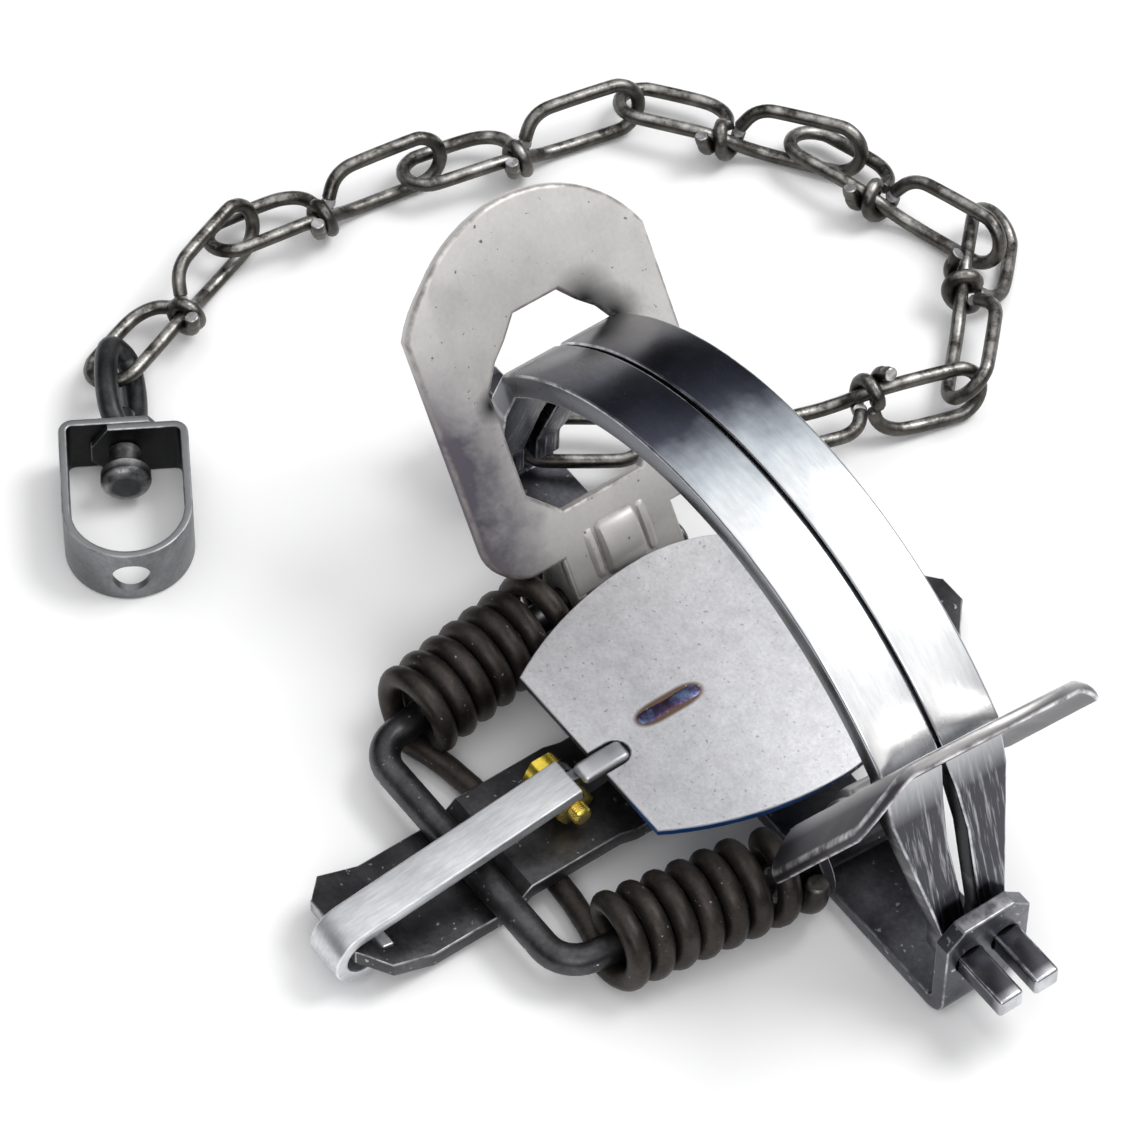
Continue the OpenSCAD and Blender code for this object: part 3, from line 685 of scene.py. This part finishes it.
# Base strip turned up at both ends
def base_path():
    """Middle of the base strip, from the top of one end to the top of the other."""
    mid, level = BASE_HALF - BASE_T / 2, BASE_T / 2
    corner = BASE_HALF - BEND_R
    shoulder = END_H - END_CHAMFER
    right = [(mid, z) for z in (END_H, shoulder, shoulder - 0.6, BEND_R + 0.4)]
    right += arc((corner, BEND_R), BEND_R - level, 0, -90, 6)
    left = [(-x, z) for x, z in reversed(right)]
    return [Vector((x, 0, z)) for x, z in right + left]


path = base_path()
wide = [BASE_HALF_W - END_CHAMFER if p.z > END_H - 0.1 else BASE_HALF_W for p in path]
end_x = BASE_HALF - BASE_T / 2
peg_places = [(x * end_x, y * JAW_PIVOT_Y, JAW_PIVOT_Z) for x in (-1, 1) for y in (-1, 1)]
base_cuts = [drill(place, X, PEG_HOLE_R) for place in peg_places]
base_cuts.append(drill((-end_x, CHAIN_HOLE[0], CHAIN_HOLE[1]), X, CHAIN_HOLE[2]))
base = strip(path, Y, [(-w, w) for w in wide], BASE_T)
piece("base_strip", base, frame_steel, "frame", ["base_frame"], base_cuts)

# Cross arm, low at both ends and over the base and the spring bridge between
low_line = [(-ARM_DOG_Y, ARM_LIFT + (ARM_DOG_Y - ARM_BEND_Y) * bend_rise), (-ARM_BEND_Y, ARM_LIFT),
            (-60, ARM_LIFT), (-56, ARM_OVER), (-36, ARM_OVER), (-32, BASE_T),
            (12, BASE_T), (18, 0), (ARM_FAR_Y, 0)]
half_wide = [(-ARM_DOG_Y, 7.3), (-87, ARM_HALF_W), (44, ARM_HALF_W), (ARM_FAR_Y, 3.3)]
stations = sorted({y for y, _ in low_line} | {y for y, _ in half_wide})
arm_path = [Vector((0, y, between(low_line, y) + ARM_T / 2)) for y in stations]
arm_spans = [(-between(half_wide, y), between(half_wide, y)) for y in stations]
slot_near = dog_pivot.y + BAR_HALF
slot_half = DOG_HALF_W + 0.6
dog_slot = block((DOG_X - slot_half, slot_near, -1), (DOG_X + slot_half, slot_near + 4.9, 16))
arm = strip(arm_path, X, arm_spans, ARM_T, up=Z)
piece("cross_strip", arm, arm_steel, "frame", ["cross_arm"], [dog_slot])


# Jaws
def jaw(side):
    """One jaw: a bow whose legs narrow towards its pegs."""
    mid, leg_x = JAW_R - JAW_T / 2, BASE_HALF - BASE_T - 0.6 - JAW_T / 2
    bow = []
    for k in range(25):
        a = math.radians(JAW_SPREAD * (1 - k / 24))
        bow.append((mid * math.sin(a), JAW_BOW_Z + mid * math.cos(a)))
    step_x, step_z = bow[0][0] - leg_x, bow[0][1] - LEG_FOOT_Z
    half = [(leg_x, JAW_PIVOT_Z - 2.8), (leg_x, LEG_FOOT_Z - 1.6), (leg_x, LEG_FOOT_Z)]
    half += [(leg_x + step_x * t, LEG_FOOT_Z + step_z * t) for t in (0.04, 0.25, 0.5, 0.75, 0.92)]
    half += bow
    line = half + [(-x, z) for x, z in reversed(half[:-1])]
    inner = [(17.5, JAW_PIVOT_Y - PEG_HALF_W), (40, 2.4), (52, JAW_GAP)]
    outer = [(17.5, JAW_PIVOT_Y + 2.9), (46, JAW_GAP + JAW_W)]
    spans = []
    for _, z in line:
        a, b = between(inner, z), between(outer, z)
        spans.append((a, b) if side > 0 else (-b, -a))
    shape = strip([Vector((x, 0, z)) for x, z in line], Y, spans, JAW_T, 0.55)
    for s in (-1, 1):
        ends = [Vector((s * x, side * JAW_PIVOT_Y, JAW_PIVOT_Z)) for x in (leg_x, PEG_REACH)]
        shape.join(strip(ends, Y, [(-PEG_HALF_W, PEG_HALF_W)] * 2, PEG_T, 0.8))
    return shape


piece("jaw_dog_bow", jaw(-1), jaw_steel, "jaw_dog", ["jaw_dog_side"])
piece("jaw_far_bow", jaw(1), jaw_steel, "jaw_far", ["jaw_far_side"])


# Levers
def lever_outline():
    """Plate square on: x up the plate from the foot, y across."""
    top_r, top_c = 28.8, 54.6
    reach = math.degrees(math.asin(LEVER_HALF / top_r))
    low = LEVER_HALF - 8
    right = [(4.5, 12.6), (13, 12.6), (13, low)]
    right += arc((21, low), 8, 170, 90, 8)
    right += arc((top_c, 0), top_r, reach, 0, 12)[:-1]
    return right + [(top_c + top_r, 0)] + [(x, -y) for x, y in reversed(right)]


def ring_hole(room, lift):
    """Opening of a ring; room widens it and lift raises its top."""
    half = RING_HALF + room
    right = [(22.3, 9), (28.5, half), (50 + lift, half), (55 + lift, 11.8), (58 + lift, 8.5), (62 + lift, 5)]
    return [(x, -y) for x, y in right] + right[::-1]


def lever(slide, room, lift, folds):
    """Ring plate with a pressed boss and two ears round the rod; folds are (side, where from, drop)."""
    lines = [s * (at + k) for s, at, _ in folds for k in (0, 1, 2, 3, 4.5)]
    shape = plate(lever_outline(), [ring_hole(room, lift)], PLATE_IN - LEVER_T, PLATE_IN, 0.9, lines)
    for point in shape.points:
        for s, at, drop in folds:
            past = max(0.0, s * point.y - at)
            point.z -= drop * past ** 2 / ((LEVER_HALF - at) * (past + 2))
    shape = shape.moved(Matrix.Translation((-FOOT, slide, 0)))
    # Across the boss: place, share of its height, and whether it takes the worn colour, which on the back
    # lever paints shade into the groove
    saddle = ((3.4, 1.0, 0), (3.9, 0.9, 0), (4.3, 0.6, 0), (4.6, 0.3, 1), (5.0, 0.28, 1), (5.4, 0.5, 0),
              (6.4, 0.52, 0), (7.1, 0.3, 0), (7.5, 0.0, 1))
    places = [BOSS_HALF * (k / 8 - 1) for k in range(17)]
    rings = []
    for y, grow, groove in [(-y, g, w) for y, g, w in reversed(saddle)] + list(saddle):
        top = []
        for x in places:
            height = grow * (0.6 + 2.1 * max(0, 1 - (x / BOSS_HALF) ** 2) ** 0.5)
            point = Vector((BOSS_AT - FOOT + x, y + slide, PLATE_IN - 0.6 + height))
            top.append((point, max(groove, 1.0 if abs(x) > 5.5 else 0.0)))
        low = [(Vector((BOSS_AT - FOOT + x, y + slide, PLATE_IN - 0.7)), 0.0) for x in reversed(places)]
        rings.append(top + low)
    shape.join(skin(rings))
    ear_low, ear_high, ear_top = 4.5 - FOOT, 13.2 - FOOT, PLATE_IN - 0.1
    ear = [(-EAR_R, 0), (ear_low, ear_top), (ear_high, ear_top)]
    ear += [(ear_high, PLATE_IN - LEVER_T), (EAR_R - 0.2, -1.4)]
    ear += arc((0, 0), EAR_R, -20, -180, 12)[:-1]
    hole = arc((0, 0), ROD_R + 0.05, 0, 345, 23)
    for s in (-1, 1):
        flat = plate(ear, [hole], -EAR_HALF_T, EAR_HALF_T, 0.3)
        stand = Matrix.Translation((0, s * EAR_Y, 0)) @ Matrix.Rotation(math.radians(90), 4, "X")
        shape.join(flat.moved(stand))
    return shape


back_lever = Matrix.Scale(-1, 4, X) @ at_rod @ Matrix.Rotation(math.radians(-LEVER_LEAN), 4, "Y")
lean = math.radians(FRONT_LEAN)
front_slide = math.tan(math.radians(FRONT_SPLAY)) * (
    (50 - FOOT) * math.cos(lean) - (PLATE_IN - LEVER_T / 2) * math.sin(lean))
back_folds = ((-1, FOLD_AT, FOLD_DROP),)
front_folds = ((-1, WIDE_FOLD_AT, WIDE_FOLD_DROP), (1, FOLD_AT, FOLD_DROP))
front_ring = lever(front_slide, 0.4, 2, front_folds).moved(front)
back_ring = lever(0, 0, 0, back_folds).moved(back_lever)
piece("lever_front_ring", front_ring, lever_shaded, "lever_front", ["lever_front"])
piece("lever_back_ring", back_ring, lever_steel, "lever_back", ["lever_back"])


# Spring, one wire with a coil each side, and the rod through it
coil_y0 = -53
coil_y1 = coil_y0 + COIL_TURNS * COIL_PITCH
leg_y, leg_top, low_z = -15.3, 13.2, 2.45


def coil_x(y):
    """Where a coil's axis lies across the base."""
    return LEVER_X - 6.5 + 0.15 * (y - coil_y0)


def coil_point(y, turns, tuck=0.0):
    """Point of the coil; tuck draws it in towards its axis."""
    a, r = math.tau * turns, COIL_R - tuck
    return Vector((coil_x(y) + r * math.sin(a), y, COIL_Z - r * math.cos(a)))


def half_wire():
    """From the bridge under the arm through one coil to its end beside the lever."""
    steps, first_x, last_x = 28, coil_x(coil_y0), coil_x(leg_y) + COIL_R
    bridge = (0, 0.25, 0.5, 0.7, 0.85)
    points = [Vector((k * first_x, coil_y0 + BRIDGE_IN * (1 - k ** 3), low_z)) for k in bridge]
    points += [coil_point(coil_y0 + COIL_PITCH * k / steps, k / steps) for k in range(steps * COIL_TURNS)]
    for k in range(steps * 5 // 4 + 1):
        last = min(1, k / steps)
        tuck = PAN_ROOM * max(0, -math.sin(math.tau * last))
        points.append(coil_point(coil_y1 + last * (leg_y - coil_y1), k / steps, tuck))
    return points + [Vector((last_x, leg_y, z)) for z in (COIL_Z + 1.2, COIL_Z + 2.2, leg_top)]


def both_ways(half):
    """A half path that starts at x 0, mirrored and joined to itself."""
    return [Vector((-p.x, p.y, p.z)) for p in reversed(half[1:])] + half


spring = tube(both_ways(half_wire()), WIRE_R, 16)
piece("spring_wire", spring, spring_steel, "frame", ["coil_spring"])

rod_z = ARM_LIFT + ARM_T + ROD_R + 0.05
rod_side, rod_y = LEVER_X - 7, coil_y0 - 9


def rod_half(splay):
    """Half of the rod: across the arm, round its corner and along through a coil and a lever."""
    s, c = math.sin(math.radians(splay)), math.cos(math.radians(splay))
    turn = Vector((LEVER_X - 15 * s / c, -15, LEVER_Z))
    corner = Vector((rod_side, rod_y + ROD_CORNER, rod_z))
    half = [Vector((x, rod_y, rod_z)) for x in (0, 6, 12, 18)]
    for x, y in arc((rod_side - ROD_CORNER, rod_y + ROD_CORNER), ROD_CORNER, -90, 0, 9):
        half.append(Vector((x, y, rod_z)))
    half += [corner.lerp(turn, t) for t in (0.1, 0.3, 0.5, 0.7, 0.9)]
    return half + [turn + Vector((s, c, 0)) * d for d in (2, 6, 12, 20, 30.5)]


rod_line = [Vector((-p.x, p.y, p.z)) for p in reversed(rod_half(0)[1:])] + rod_half(FRONT_SPLAY)
piece("rod_bar", tube(rod_line, ROD_R, 18), rod_steel, "frame", ["spring_rod"])


# Pan with its notch, and the weld on it
def pan_outline():
    """Round far half, sides that draw in, and a straight edge with a notch by the dog."""
    side_r = 69
    corner = math.sqrt(side_r ** 2 - (PAN_EDGE + 0.5) ** 2) - (side_r - PAN_R)
    swing = math.degrees(math.asin((PAN_EDGE + 0.5) / side_r))
    notch = arc((NOTCH_X, -PAN_EDGE + NOTCH_DEEP), NOTCH_HALF, 180, 0, 8)
    loop = [(-corner, -PAN_EDGE), (NOTCH_X - NOTCH_HALF, -PAN_EDGE)]
    loop += notch + [(NOTCH_X + NOTCH_HALF, -PAN_EDGE)]
    loop += arc((PAN_R - side_r, 0.5), side_r, -swing, 0, 12)
    loop += arc((0, 0.5), PAN_R, 0, 180, 48)[1:]
    return loop + arc((side_r - PAN_R, 0.5), side_r, 180, 180 + swing, 12)[1:-1]


pan = plate(pan_outline(), [], PAN_Z - PAN_T, PAN_Z, 0.35)
piece("pan_disc", pan, pan_steel, "pan", ["pan_plate"])


def weld_bead():
    """Low bead of weld, wider at its two ends than in the middle."""
    rings = []
    for k in range(25):
        t = -1 + k / 12
        uneven = 0.78 + 0.22 * abs(t) + 0.05 * math.sin(3.7 * k)
        width = 2.0 * math.sqrt(max(0.003, 1 - t ** 6)) * uneven
        ring = []
        for a in range(0, 181, 20):
            c, s = math.cos(math.radians(a)), math.sin(math.radians(a))
            height = PAN_Z - 0.25 + 0.42 * s * min(1, width)
            point = Vector((WELD_AT[0] + width * c, WELD_AT[1] + WELD_HALF * t, height))
            ring.append((point, 1.0 if a < 50 or a > 130 else 0.0))
        rings.append(ring)
    return skin(rings)


piece("pan_weld", weld_bead(), weld_tint, "pan", ())


def shank():
    """Blade under the pan, with a rounded bar along its top in the notch."""
    under = PAN_Z - PAN_T
    side = arc((BOLT_Y, BOLT_Z), 4.4, 62, 270, 14)
    side += [(-22, under - 5), (6, under - 3), (6, under), (BOLT_Y + 6, under)]
    blade = plate(side, [arc((BOLT_Y, BOLT_Z), BOLT_R + 0.05, 0, 345, 23)], 0.1, 2.5, 0.3)
    shape = blade.moved(Matrix(((0, 0, 1, 0), (1, 0, 0, 0), (0, 1, 0, 0), (0, 0, 0, 1))))
    rises = ((2.8, 18.25), (5.5, 18.35), (8.5, 18.45), (13.2, 18.35))
    bar = [Vector((NOTCH_X, BOLT_Y + d, z)) for d, z in rises]
    return shape.join(strip(bar, X, [(-2.3, 2.3)] * 4, 2.1, 1.0, Z))


piece("shank_blade", shank(), shank_steel, "pan", ["pan_shank"])

# Pan bolt and nut
bolt = hexagon(-HEX_FAR, -HEX_NEAR, HEX_R)
thread = [(-2.7, BOLT_R, 0), (4.8, BOLT_R, 0)]
for k in range(6):
    thread += [(5.0 + 0.5 * k, BOLT_R - 0.25, 0), (5.25 + 0.5 * k, BOLT_R, 1)]
thread += [(8.1, BOLT_R - 0.25, 0), (8.3, BOLT_R - 0.5, 1)]
bolt.join(lathe(thread, 24))
at_bolt = Matrix.Translation((0, BOLT_Y, BOLT_Z))
piece("pan_bolt_hex", bolt.moved(at_bolt), brass, "frame", ["pan_bolt"])
nut = hexagon(HEX_NEAR, HEX_FAR, HEX_R)
piece("pan_nut_hex", nut.moved(at_bolt), brass, "frame", ["pan_nut"])


# Dog, a strip hooked round the end bar of the arm
def dog():
    """Strip curled round its pivot and then straight to the pan."""
    mid = 3.9 + DOG_T / 2
    line = arc((0, 0), mid, -16, -270, 26) + [(u, mid) for u in (12, 24, 36, DOG_LONG)]
    tilt = Matrix.Rotation(math.radians(DOG_RISE), 4, "X")
    path = [tilt @ Vector((0, u, w)) + dog_pivot for u, w in line]
    return strip(path, X, [(DOG_X - DOG_HALF_W, DOG_X + DOG_HALF_W)] * len(path), DOG_T)


piece("dog_strip", dog(), dog_steel, "dog", ["dog"])


# Chain links of knotted wire
def loop_path(reach, half, neck, count):
    """Closed drop-shaped loop, from a neck to its far end."""
    fine = []
    for i in range(480):
        a = math.tau * i / 480
        q = math.sin(a)
        x = -neck + (reach + neck) * (1 - math.cos(a)) / 2
        fine.append(Vector((x, math.copysign(abs(q) ** 0.6, q) * half, 0)))
    return resample(fine, count, True)


def strand(x):
    """The wire's slant through the middle of a link, from one loop's plane to the other's."""
    t = max(0.0, min(1.0, (x + 5) / 10))
    return Vector((x, -LOOP_HALF * (1 - t), -LOOP_HALF * t))


def chain_link():
    """Two loops square to each other of one wire, tied by its turns round the middle."""
    end = arc((LOOP_LEN - LOOP_HALF, 0), LOOP_HALF, -90, 90, 8)
    wire = [(-2.6, -0.7, -0.3), (-3.6, 2.2, -0.1), (-6, 4.3, 0), (-10, LOOP_HALF, 0)]
    wire += [(-x, y, 0) for x, y in reversed(end)]
    wire += [(-12, -LOOP_HALF, 0), (-6.8, -LOOP_HALF + 0.25, -0.2), strand(-2.5)]
    wire += [strand(2.5), (6.8, -0.2, -LOOP_HALF + 0.25), (12, 0, -LOOP_HALF)]
    wire += [(x, 0, y) for x, y in end]
    wire += [(9, 0, LOOP_HALF), (5, 0, 5), (2.2, -0.4, 3.4), (0.1, -1.3, 0.4)]
    tie = []
    for k in range(81):
        i, r = k / 4, TIE_R + max(0.0, k / 4 - 19) * 1.45
        a = math.radians(72 - 32 * i)
        tie.append(strand(0.2 - 0.29 * i) + Vector((0, math.cos(a), math.sin(a))) * r)
    loops = tube(resample(curve(wire, 6), 130), LINK_R, 12, end_round=0.3)
    return loops.join(tube(tie, LINK_R, 12, end_round=0.2))


template = chain_link()
# How each link lies: x past the base end, y and z of its middle, then roll, pitch and heading in degrees
lie = [
    (-69.8, -29.1, 6.36, -20, -1.2, 110.6),
    (-74, 9.6, 6.5, -14, -2, 81),
    (-64, 50.75, 6.53, -15, -1.4, 77),
    (-41.2, 88.7, 6.5, -14, -2, 35.2),
    (-9.1, 103.5, 6.3, -17, -2.8, 14.8),
    (23.8, 98.7, 6.71, -42, -4.6, -45.5),
    (33.9, 61.1, 8.27, -72, -4.5, -104.6),
    (14, 25.3, 6.9, -90, 0, -125.6),
]
for number, (x, y, z, *angles) in enumerate(lie, 1):
    place = Matrix.Translation((x - BASE_HALF, y, z))
    for angle, about in zip(reversed(angles), "ZYX"):
        place = place @ Matrix.Rotation(math.radians(angle), 4, about)
    piece("wire_link_%d" % number, template.moved(place), chain_steel, "link_%d" % number,
          ["chain_link_%d" % number])

# Swivel: eye with a button head, and the stirrup it turns in
at_swivel = Matrix.Translation(SWIVEL_AT) @ Matrix.Rotation(math.radians(SWIVEL_HEAD), 4, "Z")
eye = tube(loop_path(17.5, 4.9, 2.2, 56), EYE_R, 14, True)
eye_turn = Matrix.Rotation(math.radians(EYE_ROLL), 4, "X")
eye = eye.moved(eye_turn @ Matrix.Translation((-6, 0, 0)) @ Matrix.Rotation(math.pi, 4, "Z"))
eye.join(lathe([(-8, 1.8, 0), (-7.2, STEM_R, 0), (3.6, STEM_R, 0)], 24))
button = [(1.9, 2.9, 0), (2.1, 3.2, 1), (6.9, 3.2, 0), (7.0, 4.4, 0), (7.4, 4.9, 1)]
button += [(9.2, 4.95, 0), (10.0, 4.6, 1), (10.6, 3.9, 1), (10.8, 2.6, 0)]
eye.join(lathe(button, 28))
piece("eye_bolt", eye.moved(at_swivel), eye_steel, "eye", ["swivel_eye"])


def stirrup():
    """Strip bent round a bow, its ends lying over each other behind the eye's head."""
    half, mid, bend, gap = SWIVEL_HALF - SWIVEL_T / 2, SWIVEL_T / 2, 2.0, 0.06
    line = [(-mid, 8.5), (-mid, 5), (-mid, -4)]
    line += arc((bend - mid, bend - half), bend, 180, 270, 5)
    line += [(SWIVEL_SIDE / 2, -half)]
    line += arc((SWIVEL_SIDE, 0), half, -90, 90, 32) + [(SWIVEL_SIDE / 2, half)]
    line += arc((bend + mid + gap, half - bend), bend, 90, 180, 5)
    line += [(mid + gap, y) for y in (3, -3, -6.5)]
    path = [Vector((x, y, -SWIVEL_AT.z)) for x, y in line]
    narrow = (3.5, SWIVEL_H - 5)
    spans = [narrow] + [(0, SWIVEL_H)] * (len(path) - 2) + [narrow]
    return strip(path, Z, spans, SWIVEL_T, 0.35).moved(at_swivel)


far_wall = SWIVEL_SIDE + SWIVEL_HALF - SWIVEL_T / 2
axis = at_swivel.to_3x3() @ X
stem_hole = drill(SWIVEL_AT, axis, STEM_R + 0.05)
anchor_hole = drill(at_swivel @ Vector((far_wall, 0, 0)), axis, ANCHOR_R)
piece("stirrup_strip", stirrup(), swivel_steel, "stirrup", ["swivel_stirrup"],
      [stem_hole, anchor_hole])

# The pan post keeps its CAD mesh, with its edges a little rounded
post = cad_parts["pan_post"]
post.data.materials.clear()
post.data.materials.append(frame_steel)
weld = post.modifiers.new("weld", "WELD")
weld.merge_threshold = 0.01 * MM
rounded = post.modifiers.new("edges", "BEVEL")
rounded.width, rounded.segments = 0.3 * MM, 2
rounded.limit_method, rounded.angle_limit = "ANGLE", math.radians(40)

# Floor, light and camera
floor_mesh = bpy.data.meshes.new("floor")
reach = 6.0
corners = [(-reach, -reach, 0), (reach, -reach, 0), (reach, reach, 0), (-reach, reach, 0)]
floor_mesh.from_pydata(corners, [], [(0, 1, 2, 3)])
floor = link_object("floor", floor_mesh)
floor_paint = bpy.data.materials.new("floor_paint")
floor_paint.use_nodes = True
paint = floor_paint.node_tree.nodes["Principled BSDF"].inputs
paint["Base Color"].default_value = (0.97, 0.97, 0.97, 1)
paint["Roughness"].default_value = 0.9
paint["Specular IOR Level"].default_value = 0.1
floor.data.materials.append(floor_paint)
floor.location.z = -0.2 * MM

world = bpy.data.worlds.new("studio")
bpy.context.scene.world = world
world.use_nodes = True
wn, wl = world.node_tree.nodes, world.node_tree.links
facing = wn.new("ShaderNodeVectorMath")
facing.operation = "DOT_PRODUCT"
facing.inputs[1].default_value = Vector((0.12, 0.1, 0.98)).normalized()
wl.new(wn.new("ShaderNodeTexCoord").outputs["Generated"], facing.inputs[0])
sky = ramp(wn, [(0.0, (0.05, 0.052, 0.06)), (0.36, (0.07, 0.073, 0.085)),
                (0.52, (0.4, 0.4, 0.42)), (0.74, (1, 1, 1))])
wl.new(facing.outputs["Value"], sky.inputs["Fac"])
wl.new(sky.outputs["Color"], wn["Background"].inputs["Color"])
wn["Background"].inputs["Strength"].default_value = 1.1


def softbox(name, place, power):
    """Round soft lamp that looks at the trap."""
    aim, size = Vector((0, 0, 0.02)), 0.8
    lamp = bpy.data.lights.new(name, "AREA")
    lamp.shape, lamp.size, lamp.energy = "DISK", size, power
    obj = link_object(name, lamp)
    obj.location = place
    obj.rotation_mode = "QUATERNION"
    obj.rotation_quaternion = (aim - Vector(place)).to_track_quat("-Z", "Y")


softbox("key", (0.25, 0.85, 1.35), 12)
softbox("fill", (0.9, -0.7, 0.9), 4)

camera = link_object("camera", bpy.data.cameras.new("camera"))
bpy.context.scene.camera = camera
azimuth, elevation, roll = (math.radians(v) for v in (53.0, 52.0, 1.118))
target, distance = Vector((-49.35, -3.26, 0)) * MM, 1.2
focal_px, image_px, sensor_mm = 6254.18, 1133, 36
level = math.cos(elevation)
back = Vector((math.sin(azimuth) * level, -math.cos(azimuth) * level, math.sin(elevation)))
camera.location = target + back * distance
camera.rotation_mode = "QUATERNION"
looking = (-back).to_track_quat("-Z", "Y")
camera.rotation_quaternion = looking @ Matrix.Rotation(roll, 4, "Z").to_quaternion()
camera.data.sensor_width = sensor_mm
camera.data.lens = focal_px / image_px * sensor_mm
camera.data.clip_start, camera.data.clip_end = 0.05, 50

bpy.context.scene.view_settings.view_transform = "Standard"
